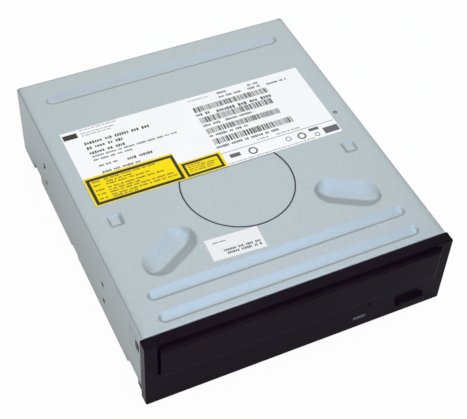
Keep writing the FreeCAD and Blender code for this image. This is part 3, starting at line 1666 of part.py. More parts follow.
def lift_frame():
    """The hinged frame that carries the traverse on four rubber dampers."""
    block = box(
        "frame_block",
        centred("frame_half_width"),
        ("frame_front", "pivot_y + frame_rear_bar / 2"),
        ("frame_base", "frame_base + frame_thick"),
    )
    window = box(
        "frame_window",
        centred("frame_half_width - frame_bar"),
        ("frame_front + frame_front_bar", "pivot_y - frame_rear_bar / 2"),
        ("frame_base - frame_thick", "frame_base + 2 * frame_thick"),
    )
    parts = []
    tools = [window]
    for x in ("pin_left_x", "pin_right_x"):
        parts.append(
            box(
                "frame_ear",
                centred("2 * pin_radius", x),
                ("frame_front", "base_front - ear_play"),
                ("frame_base", "pin_level + 1.4 * pin_radius"),
            )
        )
        parts.append(
            rod("frame_pin", "pin_radius", (x, "cam_front", "pin_level"), "frame_front - cam_front", "y")
        )
    parts.append(
        rod(
            "frame_pivot",
            "pivot_radius",
            ("-1 * pivot_end", "pivot_y", "pivot_level"),
            "2 * pivot_end",
            "x",
        )
    )
    for x, y in corners("damper_x", ("damper_front_y", "damper_rear_y")):
        tools.append(
            rod(
                "frame_screw_hole",
                "damper_screw_radius",
                (x, y, "frame_base + 0.3 * frame_thick"),
                "frame_thick",
            )
        )
    blank = fuse("frame_blank", block, *parts)
    pivot_gap = box(
        "frame_pivot_gap",
        centred("frame_half_width - frame_bar"),
        centred("2 * pivot_radius", "pivot_y"),
        ("frame_base - frame_thick", "frame_base"),
    )
    pivot_gap_high = box(
        "frame_pivot_gap_high",
        centred("frame_half_width - frame_bar"),
        centred("2 * pivot_radius", "pivot_y"),
        ("frame_base + frame_thick", "frame_base + 3 * frame_thick"),
    )
    keep(cut("frame_finished", blank, *tools, pivot_gap, pivot_gap_high), "lift_frame")
    dampers = []
    screws = []
    low, waist, top = "damper_low", "damper_low + base_thick", "damper_low + base_thick + damper_high"
    bore = "damper_screw_radius + shaft_play"
    outline = [
        (bore, "0"),
        ("damper_radius", "0"),
        ("damper_radius", low),
        ("damper_waist", low),
        ("damper_waist", waist),
        ("damper_radius", waist),
        ("damper_radius", top),
        (bore, top),
    ]
    for i, (x, y) in enumerate(corners("damper_x", ("damper_front_y", "damper_rear_y"))):
        dampers.append(turned(f"damper_{i}", outline, (x, y, "frame_base + frame_thick")))
        place = (x, y, f"frame_base + frame_thick + {top}")
        screws.append(
            screw(
                f"damper_screw_{i}",
                place,
                "damper_head_radius",
                "damper_head_height",
                "damper_screw_radius",
                f"{top} + 0.7 * frame_thick",
            )
        )
    keep(group("damper_set", dampers), "rubber_dampers")
    keep(group("damper_screw_set", screws), "damper_screws")


def traverse_base():
    """The steel plate with folded sides that holds the disc motor, the rods and the feed screw."""
    plate = box(
        "base_sheet",
        centred("base_half_width"),
        ("base_front", "base_rear"),
        ("base_low", "base_high"),
    )
    folds = []
    fold_run = ("damper_front_y + 2 * damper_radius", "damper_rear_y - 2 * damper_radius")
    for span in (
        ("-1 * base_half_width", "-1 * base_half_width + base_thick"),
        ("base_half_width - base_thick", "base_half_width"),
    ):
        folds.append(box("base_fold", span, fold_run, ("base_low", "base_high + base_fold")))
    tools = [
        box(
            "base_window",
            centred("window_half"),
            ("window_front", "window_rear"),
            ("base_low - base_thick", "base_high + base_thick"),
        ),
        rod(
            "base_motor_hole",
            "housing_radius",
            ("0", "spindle_y", "base_low - base_thick"),
            "3 * base_thick",
        ),
    ]
    for x, y in corners("damper_x", ("damper_front_y", "damper_rear_y")):
        tools.append(
            rod("base_damper_hole", "damper_waist", (x, y, "base_low - base_thick"), "3 * base_thick")
        )
    keep(cut("base_plate_finished", fuse("base_blank_plate", plate, *folds), *tools), "traverse_base")


def disc_motor():
    """Stator with its bearing housing, the turning rotor, the rubber ring and the centring hub."""
    plate = box(
        "motor_plate",
        centred("motor_plate_half"),
        centred("rotor_radius - rotor_wall", "spindle_y"),
        ("base_high", "base_high + motor_plate_thick"),
    )
    housing = rod(
        "motor_housing",
        "housing_radius",
        ("0", "spindle_y", "base_low - housing_drop"),
        "housing_drop + base_thick + housing_rise",
    )
    core = rod(
        "motor_core",
        "stator_radius",
        ("0", "spindle_y", "base_high + motor_plate_thick"),
        "stator_thick",
    )
    bore = rod(
        "motor_bore",
        "shaft_radius + shaft_play",
        ("0", "spindle_y", "base_low - housing_drop + 1"),
        "2 * rotor_height",
    )
    keep(cut("stator_finished", fuse("stator_blank", plate, housing, core), bore), "spindle_stator")
    pot = "rotor_pot_depth"
    tip = "base_low - housing_drop + 1.5 - rotor_base"
    outline = [
        ("0", tip),
        ("shaft_radius", tip),
        ("shaft_radius", pot),
        ("rotor_radius - rotor_wall", pot),
        ("rotor_radius - rotor_wall", "0"),
        ("rotor_radius", "0"),
        ("rotor_radius", "rotor_height"),
        ("table_radius", "rotor_height"),
        ("table_radius", "rotor_height + table_thick"),
        ("0", "rotor_height + table_thick"),
    ]
    keep(turned("rotor_bell", outline, ("0", "spindle_y", "rotor_base")), "spindle_rotor")
    ring = [
        ("pad_inner", "0"),
        ("table_radius - 0.3", "0"),
        ("table_radius - 0.3", "pad_thick"),
        ("pad_inner", "pad_thick"),
    ]
    keep(turned("table_ring", ring, ("0", "spindle_y", "table_top")), "turntable_pad")
    hub = [
        ("0", "0"),
        ("hub_radius", "0"),
        ("hub_radius", "pad_thick + hub_height - hub_cone"),
        ("hub_radius - hub_cone", "pad_thick + hub_height"),
        ("shaft_radius", "pad_thick + hub_height"),
        ("shaft_radius", "hub_height / 2"),
        ("0", "hub_height / 2"),
    ]
    keep(turned("hub_cone_body", hub, ("0", "spindle_y", "table_top")), "centring_hub")


def pickup():
    """The laser pickup on its rods, with the lens, the feed screw and the feed motor."""
    rise = ("pickup_base", "pickup_top")
    front, rear = "pickup_front", "pickup_front + pickup_length"
    carriage = box("pickup_block", centred("pickup_half_width"), (front, rear), rise)
    dome = box(
        "pickup_dome",
        centred("dome_half"),
        (front, f"{front} + dome_length"),
        ("pickup_top", "dome_top"),
    )
    tools = [rod("pickup_lens_well", "lens_hole_radius", ("0", "lens_y", "lens_floor"), "2 * dome_height")]
    for sign in ("-1", "1"):
        tools.append(
            rod(
                "pickup_rod_hole",
                "rod_radius + rod_play",
                (f"{sign} * rod_x", f"{front} - 1 * rod_radius", "rod_level"),
                "2 * pickup_length",
                "y",
            )
        )
        inner = f"{sign} * (dome_half + 2 * rod_radius)"
        outer = f"{sign} * (pickup_half_width + rod_radius)"
        span = (inner, outer) if sign == "1" else (outer, inner)
        tools.append(
            box(
                "pickup_relief",
                span,
                (f"{front} + pickup_length / 3", f"{rear} - pickup_length / 3"),
                ("rod_level + 2 * rod_radius", "pickup_top + 1 * rod_radius"),
            )
        )
    keep(cut("pickup_finished", fuse("pickup_blank", carriage, dome), *tools), "pickup_body")
    plate = box(
        "actuator_plate",
        centred("dome_half - 1 * rod_radius"),
        (f"{front} + rod_radius / 2", f"{front} + dome_length - rod_radius"),
        ("dome_top", "actuator_top"),
    )
    hole = rod(
        "actuator_hole",
        "lens_hole_radius",
        ("0", "lens_y", "dome_top - actuator_thick"),
        "3 * actuator_thick",
    )
    keep(cut("actuator_finished", plate, hole), "actuator_cover")
    base = "lens_floor + lens_stroke + lens_rise"
    holder = rod("lens_holder_disc", "holder_radius", ("0", "lens_y", base), f"actuator_top - ({base})")
    keep(holder, "lens_holder")
    lens = [
        ("0", "0"),
        ("lens_radius", "0"),
        ("lens_radius", "lens_bulge / 3"),
        ("lens_radius / 2", "lens_bulge"),
        ("0", "lens_bulge"),
    ]
    keep(turned("lens_glass", lens, ("0", "lens_y", "actuator_top")), "objective_lens")
    nut_y = "pickup_front + nut_offset"
    nut = box(
        "nut_block",
        ("pickup_half_width", "screw_x"),
        (nut_y, f"{nut_y} + nut_length"),
        centred("nut_height / 2", "rod_level"),
    )
    groove = rod(
        "nut_groove",
        "screw_radius + nut_play",
        ("screw_x", f"{nut_y} - nut_length", "rod_level"),
        "3 * nut_length",
        "y",
    )
    keep(cut("nut_finished", nut, groove), "feed_nut")
    rod_length = "rod_rear - rod_front"
    keep(
        rod("rod_right", "rod_radius", ("rod_x", "rod_front", "rod_level"), rod_length, "y"),
        "main_guide_rod",
    )
    keep(
        rod("rod_left", "rod_radius", ("-1 * rod_x", "rod_front", "rod_level"), rod_length, "y"),
        "second_guide_rod",
    )
    holders = []
    for x in ("-1 * rod_x", "rod_x"):
        for y in ("rod_front", "rod_rear - holder_length"):
            block = box(
                "rod_block",
                centred("holder_width / 2", x),
                (y, f"{y} + holder_length"),
                ("base_high", "base_high + holder_height"),
            )
            hole = rod(
                "rod_hole",
                "rod_radius + bore_play",
                (x, f"{y} - holder_length", "rod_level"),
                "3 * holder_length",
                "y",
            )
            holders.append(cut("rod_holder", block, hole))
    keep(group("rod_holder_set", holders), "rod_holders")
    front_end = "rod_front + holder_length"
    bearing = box(
        "screw_bearing_block",
        centred("holder_width / 2", "screw_x + 0.6"),
        ("rod_front", front_end),
        ("base_high", "base_high + holder_height"),
    )
    bore = rod(
        "screw_bearing_bore",
        "journal_radius + shaft_play",
        ("screw_x", "rod_front - 1", "rod_level"),
        "2 * holder_length",
        "y",
    )
    keep(cut("screw_bearing_finished", bearing, bore), "screw_bearing")
    gap = "cover_gap"
    length = f"feed_motor_y - ({front_end}) - 2 * {gap}"
    outline = [
        ("0", "-journal_length"),
        ("journal_radius", "-journal_length"),
        ("journal_radius", "0"),
        ("screw_radius", "0"),
        ("screw_radius", length),
        ("journal_radius", length),
        ("journal_radius", f"{length} + journal_length"),
        ("0", f"{length} + journal_length"),
    ]
    keep(
        turned("feed_spindle", outline, ("screw_x", f"{front_end} + {gap}", "rod_level"), "y"),
        "lead_screw",
    )
    can = rod(
        "feed_can",
        "feed_motor_radius",
        ("screw_x", "feed_motor_y + feed_plate_thick", "rod_level"),
        "feed_motor_length",
        "y",
    )
    plate = box(
        "feed_plate",
        centred("feed_motor_radius + 0.4", "screw_x"),
        ("feed_motor_y", "feed_motor_y + feed_plate_thick"),
        ("base_high", "rod_level + feed_motor_radius"),
    )
    bore = rod(
        "feed_bore",
        "journal_radius + shaft_play",
        ("screw_x", "feed_motor_y - 1", "rod_level"),
        "journal_length + 1.5",
        "y",
    )
    keep(cut("feed_motor_finished", fuse("feed_motor_blank", can, plate), bore), "feed_motor")


def connector(label, x, width, height):
    """A connector shell open to the rear."""
    span = centred(f"{width} / 2", x)
    rise = ("board_top", f"board_top + {height}")
    shell = box(label + "_block", span, ("connector_front", "connector_rear"), rise)
    hollow = box(
        label + "_mouth",
        centred(f"{width} / 2 - connector_wall", x),
        ("connector_front + 2 * connector_wall", "connector_rear + connector_wall"),
        ("board_top + connector_wall", f"board_top + {height} - connector_wall"),
    )
    keep(cut(label + "_finished", shell, hollow), label)


def electronics():
    """The main board with its chips, capacitors, connectors and screws, and the small front board."""
    holes = []
    screws = []
    for i, (x, y) in enumerate(corners("board_post_x", ("post_front_y", "post_rear_y"))):
        holes.append(
            rod(
                "board_hole",
                "screw_shank_radius + screw_play",
                (x, y, "board_base - board_thick"),
                "3 * board_thick",
            )
        )
        length = "board_thick + (deck_base - board_top) / 2"
        screws.append(
            screw(
                f"board_screw_{i}",
                (x, y, "board_base"),
                "screw_head_radius",
                "screw_head_height",
                "screw_shank_radius - bore_play",
                length,
                head_up=False,
            )
        )
    board = box(
        "main_board_blank",
        centred("board_half_width"),
        ("board_front", "board_rear"),
        ("board_base", "board_top"),
    )
    keep(cut("main_board_finished", board, *holes), "main_board")
    front_holes = []
    for x in ("front_post_left", "front_post_right"):
        place = (x, "front_post_y", "front_board_base - board_thick")
        front_holes.append(
            rod("front_board_hole", "screw_shank_radius + screw_play", place, "3 * board_thick")
        )
        place = (x, "front_post_y", "front_board_base")
        length = "board_thick + (deck_base - front_board_top) / 2"
        screws.append(
            screw(
                f"{x}_screw",
                place,
                "screw_head_radius",
                "screw_head_height",
                "screw_shank_radius - bore_play",
                length,
                head_up=False,
            )
        )
    keep(group("board_screw_set", screws), "board_screws")
    pin_start, pin_end = "connector_front + 2 * connector_wall", "connector_rear - 2 * connector_wall"
    connector("data_connector", "data_x", "data_width", "data_height")
    pins = []
    middle = "(board_top + data_height / 2)"
    for column in range(SIZES["data_columns"]):
        for row in (-1, 1):
            if row == 1 and column == SIZES["data_columns"] // 2:
                continue
            x = f"data_x + ({column} - (data_columns - 1) / 2) * pin_pitch"
            pins.append(
                box(
                    "data_pin",
                    centred("pin_side / 2", x),
                    (pin_start, pin_end),
                    centred("pin_side / 2", f"{middle} + {row} * pin_pitch / 2"),
                )
            )
    keep(group("data_pin_set", pins), "data_pins")
    connector("power_connector", "power_x", "power_width", "power_height")
    pins = [
        rod(
            "power_pin",
            "power_pin_radius",
            (f"power_x + {offset} * power_pitch", pin_start, "board_top + power_height / 2"),
            f"{pin_end} - ({pin_start})",
            "y",
        )
        for offset in (-1.5, -0.5, 0.5, 1.5)
    ]
    keep(group("power_pin_set", pins), "power_pins")
    jumper = box(
        "jumper_base",
        centred("jumper_width / 2", "jumper_x"),
        ("connector_front + 4 * connector_wall", "connector_rear - 6 * connector_wall"),
        ("board_top", "board_top + data_height"),
    )
    keep(jumper, "jumper_block")
    connector("audio_connector", "audio_x", "audio_width", "audio_height")
    pins = [
        box(
            "jumper_pin",
            centred("pin_side / 2", f"jumper_x + {column} * pin_pitch"),
            ("connector_rear - 6 * connector_wall", "connector_rear"),
            centred("pin_side / 2", f"board_top + data_height / 2 + {row} * pin_pitch / 2"),
        )
        for column in (-1, 0, 1)
        for row in (-1, 1)
    ]
    for column in (-1.5, -0.5, 0.5, 1.5):
        x = f"audio_x + {column} * 0.8 * pin_pitch"
        pins.append(
            box(
                "audio_pin",
                centred("pin_side / 2", x),
                (pin_start, pin_end),
                centred("pin_side / 2", "board_top + audio_height / 2"),
            )
        )
    keep(group("header_pin_set", pins), "header_pins")
    chips = [
        ("controller_chip", "controller_x", "board_front + controller_back", "large_chip"),
        ("memory_chip", "memory_x", "board_front + memory_back", "small_chip"),
        ("driver_chip", "driver_x", "board_front + driver_back", "small_chip"),
    ]
    for label, x, y, side in chips:
        block = box(
            label + "_block",
            centred(f"{side} / 2", x),
            centred(f"{side} / 2", y),
            ("board_base - chip_thick", "board_base"),
        )
        keep(block, label)
    thermal = box(
        "thermal_sheet",
        centred("small_chip / 2", "driver_x"),
        centred("small_chip / 2", "board_front + driver_back"),
        ("sheet_thick", "board_base - chip_thick"),
    )
    keep(thermal, "thermal_pad")
    cans = [
        rod(
            "capacitor",
            "capacitor_radius",
            (x, "board_front + capacitor_back", "board_top"),
            "capacitor_height",
        )
        for x in ("-40", "-33", "8", "30")
    ]
    keep(group("capacitor_set", cans), "capacitors")
    board = box(
        "front_board_blank",
        ("front_board_left", "front_board_right"),
        ("front_board_front", "front_board_front + front_board_depth"),
        ("front_board_base", "front_board_top"),
    )
    keep(cut("front_board_finished", board, *front_holes), "front_board")
    body = box(
        "switch_body",
        centred("switch_side / 2", "button_x"),
        ("front_board_front", "front_board_front + switch_depth"),
        ("front_board_top", "front_board_top + switch_side"),
    )
    tip = rod(
        "switch_plunger",
        "switch_tip",
        ("button_x", "front_board_front - switch_tip", "button_z"),
        "switch_tip",
        "y",
    )
    keep(fuse("switch_finished", body, tip), "eject_switch")
    led = box(
        "led_body",
        centred("light_width / 3", "light_x"),
        ("front_wall_y", "front_board_front + light_height"),
        centred("light_height / 2", "light_z"),
    )
    foot = box(
        "led_foot",
        centred("light_width / 3", "light_x"),
        ("front_board_front", "front_board_front + light_height"),
        ("front_board_top", "light_z"),
    )
    keep(fuse("led_finished", led, foot), "status_led")


def labels():
    """Printed films on the cover."""
    film = box(
        "label_film",
        ("label_left", "label_right"),
        ("label_front", "label_rear"),
        ("case_height", "label_top"),
    )
    keep(film, "main_label")
    rise = ("label_top", "label_top + field_thick")
    keep(
        box("field_one", ("label_left", "field_one_right"), ("label_front", "field_one_rear"), rise),
        "yellow_field_left",
    )
    keep(
        box("field_two", ("field_one_right", "field_two_right"), ("label_front", "field_two_rear"), rise),
        "yellow_field_right",
    )
    small = doc.addObject("Part::Box", "small_film")
    bind(small, Length="small_label_length", Width="small_label_width", Height="label_thick")
    shift_x = "(small_label_length * cos(small_label_turn) - small_label_width * sin(small_label_turn)) / 2"
    shift_y = "(small_label_length * sin(small_label_turn) + small_label_width * cos(small_label_turn)) / 2"
    put(
        small,
        (f"small_label_x - {shift_x}", f"small_label_y - {shift_y}", "case_height"),
        turn="small_label_turn",
    )
    keep(small, "small_label")


def write_parts():
    """Check every object, then write each sub-part to its own file."""
    doc.recompute()
    for item in doc.Objects:
        if "Invalid" in item.State or "Error" in item.State:
            raise RuntimeError(f"{item.Label} failed: {item.State}")
    for node in NODES:
        if node.Shape.isNull() or not node.Shape.isValid() or not node.Shape.Solids:
            raise RuntimeError(f"{node.Label} has no valid solid")
    os.makedirs("parts", exist_ok=True)
    for node in NODES:
        node.Shape.exportStep(f"parts/{node.Label}.step")
        print(f"{node.Label}: {len(node.Shape.Solids)} solid(s), {node.Shape.Volume:.1f} mm3")


fill_sheet()
for make in (
    top_cover,
    bottom_cover,
    front_bezel,
    tray_door,
    eject_button,
    disc_tray,
    main_chassis,
    clamp,
    loading_drive,
    cam_slider,
    lift_frame,
    traverse_base,
    disc_motor,
    pickup,
    electronics,
    labels,
):
    make()
write_parts()
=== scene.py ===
"""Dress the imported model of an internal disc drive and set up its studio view."""

import json
import logging
import math
import random
from dataclasses import dataclass, field
from enum import Enum
from typing import Callable, Iterable, Optional

import bmesh
import bpy
from mathutils import Matrix, Vector

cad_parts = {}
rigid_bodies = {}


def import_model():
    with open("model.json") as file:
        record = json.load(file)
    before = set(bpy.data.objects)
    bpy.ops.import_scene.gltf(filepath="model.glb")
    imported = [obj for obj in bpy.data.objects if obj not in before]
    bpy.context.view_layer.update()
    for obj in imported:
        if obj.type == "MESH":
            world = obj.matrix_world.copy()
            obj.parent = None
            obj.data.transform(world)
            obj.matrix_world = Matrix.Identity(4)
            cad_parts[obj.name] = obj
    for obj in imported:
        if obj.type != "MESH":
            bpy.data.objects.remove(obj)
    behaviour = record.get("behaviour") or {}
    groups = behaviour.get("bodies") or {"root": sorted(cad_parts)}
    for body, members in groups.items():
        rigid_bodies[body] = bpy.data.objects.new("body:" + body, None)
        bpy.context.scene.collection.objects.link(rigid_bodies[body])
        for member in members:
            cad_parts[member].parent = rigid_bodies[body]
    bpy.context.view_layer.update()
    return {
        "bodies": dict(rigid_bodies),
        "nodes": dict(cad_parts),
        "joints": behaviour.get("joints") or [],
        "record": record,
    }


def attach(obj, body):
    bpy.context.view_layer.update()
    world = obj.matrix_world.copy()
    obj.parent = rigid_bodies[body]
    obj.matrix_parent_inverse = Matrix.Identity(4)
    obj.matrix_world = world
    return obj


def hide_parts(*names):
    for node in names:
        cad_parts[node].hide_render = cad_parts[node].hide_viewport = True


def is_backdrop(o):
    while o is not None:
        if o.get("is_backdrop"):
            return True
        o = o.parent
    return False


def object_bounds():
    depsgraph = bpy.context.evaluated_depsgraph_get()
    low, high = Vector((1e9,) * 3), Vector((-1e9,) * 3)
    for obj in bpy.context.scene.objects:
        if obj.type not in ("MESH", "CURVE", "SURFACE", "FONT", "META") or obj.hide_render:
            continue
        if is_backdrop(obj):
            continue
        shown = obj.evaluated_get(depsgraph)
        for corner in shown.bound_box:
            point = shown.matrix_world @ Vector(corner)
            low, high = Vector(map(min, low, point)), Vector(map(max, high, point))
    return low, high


LOG = logging.getLogger("disc_drive")
MM = 0.001

# Case sizes in millimetres, in the row frame
HALF_WIDTH = 73.0
DEPTH = 164.0
HEIGHT = 41.3
SPINDLE_Y = 63.5
CASE_BODY = "case"

# Millimetres within which two points are merged, and two places count as the same
MERGE = 0.002
NEAR = 0.01

# Decimals that a grid line's place in millimetres is rounded to
DIGITS = 4

UP = (0.0, 0.0, 1.0)
# The left and the right end of the X axis
SIDES = (-1.0, 1.0)

# A point of a plane and one of space
Spot = tuple[float, float]
Place = tuple[float, float, float]
Colour = tuple[float, float, float]
# A rectangle as x0, x1, y0, y1, and a row of strokes as x0, x1, middle y, height
Box = tuple[float, float, float, float]
Row = tuple[float, float, float, float]
# A stretch of grid lines as start, end and step
Span = tuple[float, float, float]


class Ink(Enum):
    """What the labels are printed with, by the name of its finish."""

    DARK = "print_dark"
    TEXT = "print_ink"
    OLIVE = "print_olive"
    GREY = "print_grey"


@dataclass(frozen=True)
class Finish:
    """How one material looks: a base colour with fine variation, gloss and a little relief.

    The scales and details are those of noise over the object, in metres.
    """

    name: str
    colour: Colour
    rough: float = 0.5
    metallic: float = 0.0
    shade: float = 0.06
    shade_scale: float = 60.0
    grain: float = 0.05
    grain_scale: float = 1500.0
    rough_vary: float = 0.08
    stretch: Place = (1.0, 1.0, 1.0)
    coat: float = 0.0
    coat_rough: float = 0.06
    specular: float = 0.5
    spangle: float = 0.0
    alpha: float = 1.0
    relief: float = 0.0002
    spangle_scale: float = 1100.0
    shade_detail: float = 4.0
    grain_detail: float = 2.0
    shade_places: Spot = (0.3, 0.7)
    least_rough: float = 0.02

    def make(self) -> bpy.types.Material:
        """Make the material.

        Returns:
            A new node material in object space.
        """
        material = bpy.data.materials.new(self.name)
        material.use_nodes = True
        tree = material.node_tree
        shader = tree.nodes["Principled BSDF"]
        for socket, value in (
            ("Metallic", self.metallic),
            ("Specular IOR Level", self.specular),
            ("Coat Weight", self.coat),
            ("Coat Roughness", self.coat_rough),
            ("Alpha", self.alpha),
        ):
            shader.inputs[socket].default_value = value
        place = tree.nodes.new("ShaderNodeTexCoord")
        stretch = tree.nodes.new("ShaderNodeMapping")
        stretch.inputs["Scale"].default_value = self.stretch
        tree.links.new(place.outputs["Object"], stretch.inputs["Vector"])
        source = stretch.outputs["Vector"]
        cloud = self._noise(tree, source, self.shade_scale, self.shade_detail)
        fine = self._noise(tree, source, self.grain_scale, self.grain_detail)
        self._tint(tree, self._spangled(tree, source, cloud) if self.spangle else cloud, shader)
        self._gloss(tree, fine, shader)
        if self.grain:
            self._bump(tree, fine, shader)
        return material

    @staticmethod
    def _noise(
        tree: bpy.types.NodeTree, source: bpy.types.NodeSocket, scale: float, detail: float
    ) -> bpy.types.NodeSocket:
        """Add a noise texture.

        Args:
            tree: The material's nodes.
            source: Where on the object the noise is read.
            scale: How fine the noise is.
            detail: How many finer layers it has.

        Returns:
            The noise's value.
        """
        noise = tree.nodes.new("ShaderNodeTexNoise")
        noise.inputs["Scale"].default_value = scale
        noise.inputs["Detail"].default_value = detail
        tree.links.new(source, noise.inputs["Vector"])
        return noise.outputs["Fac"]

    def _spangled(
        self, tree: bpy.types.NodeTree, source: bpy.types.NodeSocket, factor: bpy.types.NodeSocket
    ) -> bpy.types.NodeSocket:
        """Mix zinc crystal patches into a colour factor.

        Args:
            tree: The material's nodes.
            source: Where on the object the patches are read.
            factor: The value that they are mixed into.

        Returns:
            The mixed value.
        """
        cells = tree.nodes.new("ShaderNodeTexVoronoi")
        cells.inputs["Scale"].default_value = self.spangle_scale
        tree.links.new(source, cells.inputs["Vector"])
        mix = tree.nodes.new("ShaderNodeMix")
        mix.inputs["Factor"].default_value = self.spangle
        tree.links.new(factor, mix.inputs["A"])
        tree.links.new(cells.outputs["Color"], mix.inputs["B"])
        return mix.outputs["Result"]

    def _tint(
        self, tree: bpy.types.NodeTree, factor: bpy.types.NodeSocket, shader: bpy.types.Node
    ) -> None:
        """Vary the base colour between a darker and a lighter shade.

        Args:
            tree: The material's nodes.
            factor: The value that picks the shade.
            shader: The shader that takes the colour.
        """
        tint = tree.nodes.new("ShaderNodeValToRGB")
        shares = (1.0 - self.shade, 1.0 + self.shade)
        for element, share, place in zip(tint.color_ramp.elements, shares, self.shade_places):
            element.color = (*(min(1.0, part * share) for part in self.colour), 1.0)
            element.position = place
        tree.links.new(factor, tint.inputs["Fac"])
        tree.links.new(tint.outputs["Color"], shader.inputs["Base Color"])

    def _gloss(self, tree: bpy.types.NodeTree, fine: bpy.types.NodeSocket, shader: bpy.types.Node) -> None:
        """Vary the roughness a little.

        Args:
            tree: The material's nodes.
            fine: The fine noise.
            shader: The shader that takes the roughness.
        """
        gloss = tree.nodes.new("ShaderNodeMapRange")
        gloss.inputs["To Min"].default_value = max(self.least_rough, self.rough - self.rough_vary)
        gloss.inputs["To Max"].default_value = min(1.0, self.rough + self.rough_vary)
        tree.links.new(fine, gloss.inputs["Value"])
        tree.links.new(gloss.outputs["Result"], shader.inputs["Roughness"])

    def _bump(self, tree: bpy.types.NodeTree, fine: bpy.types.NodeSocket, shader: bpy.types.Node) -> None:
        """Give the surface a fine relief.

        Args:
            tree: The material's nodes.
            fine: The fine noise.
            shader: The shader that takes the relief.
        """
        bump = tree.nodes.new("ShaderNodeBump")
        bump.inputs["Strength"].default_value = self.grain
        bump.inputs["Distance"].default_value = self.relief
        tree.links.new(fine, bump.inputs["Height"])
        tree.links.new(bump.outputs["Normal"], shader.inputs["Normal"])


FINISHES = (
    Finish(
        "galvanised_steel", (0.435, 0.49, 0.508), rough=0.36, metallic=0.55, shade=0.045,
        shade_scale=900.0, grain=0.14, grain_scale=2600.0, spangle=0.25, rough_vary=0.05,
    ),
    Finish(
        "plain_steel", (0.5, 0.51, 0.52), rough=0.36, metallic=0.85, shade=0.07, stretch=(1.0, 14.0, 14.0),
        grain=0.08,
    ),
    Finish("zinc_screw", (0.6, 0.6, 0.57), rough=0.3, metallic=0.9, shade=0.08, shade_scale=700.0),
    Finish("motor_steel", (0.42, 0.43, 0.44), rough=0.3, metallic=0.9, stretch=(1.0, 1.0, 12.0)),
    Finish("bright_metal", (0.72, 0.72, 0.73), rough=0.16, metallic=1.0, shade=0.04, grain=0.02),
    Finish("die_cast", (0.5, 0.51, 0.52), rough=0.48, metallic=0.8, grain=0.35, grain_scale=2200.0),
    Finish("capacitor_can", (0.66, 0.66, 0.67), rough=0.28, metallic=0.9, shade=0.05),
    Finish("brass", (0.7, 0.52, 0.2), rough=0.28, metallic=1.0, shade=0.08),
    Finish("gold_pins", (0.78, 0.58, 0.22), rough=0.22, metallic=1.0, shade=0.08),
    Finish(
        "black_gloss", (0.009, 0.0045, 0.0105), rough=0.09, shade=0.2, shade_scale=35.0, grain=0.01,
        rough_vary=0.03, specular=0.03, grain_scale=900.0,
    ),
    Finish("black_plastic", (0.022, 0.022, 0.024), rough=0.55, shade=0.2, grain=0.4, grain_scale=1800.0),
    Finish("white_plastic", (0.74, 0.74, 0.7), rough=0.42, shade=0.03, grain=0.06),
    Finish("grey_plastic", (0.12, 0.12, 0.125), rough=0.5, shade=0.12, grain=0.2),
    Finish("connector_plastic", (0.02, 0.02, 0.021), rough=0.45, shade=0.2, grain=0.25),
    Finish("connector_white", (0.72, 0.7, 0.62), rough=0.45, shade=0.04, grain=0.12),
    Finish("chip_plastic", (0.028, 0.028, 0.03), rough=0.62, shade=0.2, grain=0.5),
    Finish("pad_grey", (0.32, 0.35, 0.38), rough=0.75, shade=0.08, grain=0.3),
    Finish(
        "circuit_board", (0.02, 0.16, 0.07), rough=0.32, shade=0.3, shade_scale=260.0, grain=0.15,
        grain_scale=900.0,
    ),
    Finish("light_lens", (0.028, 0.038, 0.062), rough=0.22, shade=0.1, coat=0.3),
    Finish("lens_glass", (0.35, 0.5, 0.75), rough=0.05, coat=1.0, alpha=0.55, grain=0.0),
    Finish("rubber", (0.02, 0.02, 0.02), rough=0.78, shade=0.2, grain=0.4),
    Finish("rubber_damper", (0.045, 0.045, 0.05), rough=0.8, shade=0.15, grain=0.35),
    Finish(
        "label_white", (0.925, 0.92, 0.905), rough=0.4, shade=0.012, grain=0.03, grain_scale=700.0,
        specular=0.3,
    ),
    Finish("label_yellow", (0.96, 0.735, 0.002), rough=0.5, shade=0.02, grain=0.03, specular=0.08),
    Finish("label_cream", (0.82, 0.82, 0.81), rough=0.5, shade=0.02, grain=0.05, specular=0.3),
    Finish(Ink.DARK.value, (0.05, 0.047, 0.034), rough=0.5, shade=0.15, grain=0.02, specular=0.12),
    Finish(Ink.TEXT.value, (0.05, 0.04, 0.06), rough=0.5, shade=0.1, grain=0.02),
    Finish(Ink.OLIVE.value, (0.12, 0.09, 0.01), rough=0.5, shade=0.1, grain=0.02),
    Finish(Ink.GREY.value, (0.12, 0.11, 0.13), rough=0.5, shade=0.1, grain=0.02),
    # Near black for the painted shadow line round the disc circle's step, and for the small dot beside the
    # label
    Finish("painted_shadow_line_and_dot", (0.03, 0.022, 0.06), rough=0.6, shade=0.1, grain=0.05),
    # Near black as painted shade inside the side holes, on the collars behind them
    Finish("painted_shade_bore", (0.012, 0.01, 0.016), rough=0.6, metallic=0.3, shade=0.2, grain=0.3),
)


def smooth(value: float) -> float:
    """A soft step from 0 to 1.

    Args:
        value: How far along the step is, below 0 before it and above 1 past it.

    Returns:
        The step's height.
    """
    share = min(1.0, max(0.0, value))
    return share * share * (3.0 - 2.0 * share)


def soft_min(value: float, limit: float, gap: float = 0.08) -> float:
    """The smaller of two numbers with a rounded corner between them.

    Args:
        value: One number.
        limit: The other.
        gap: How far the corner is rounded.

    Returns:
        The rounded smaller number.
    """
    return 0.5 * (value + limit - math.sqrt((value - limit) ** 2 + gap * gap))


def stretch_lines(spans: Iterable[Span]) -> list[float]:
    """Grid lines from spans of (start, end, step).

    Args:
        spans: Neighbouring stretches with the step wanted in each.

    Returns:
        The sorted places of the lines.
    """
    places: set[float] = set()
    for start, end, step in spans:
        count = max(1, round((end - start) / step))
        places.update(round(start + (end - start) * i / count, DIGITS) for i in range(count + 1))
    return sorted(places)


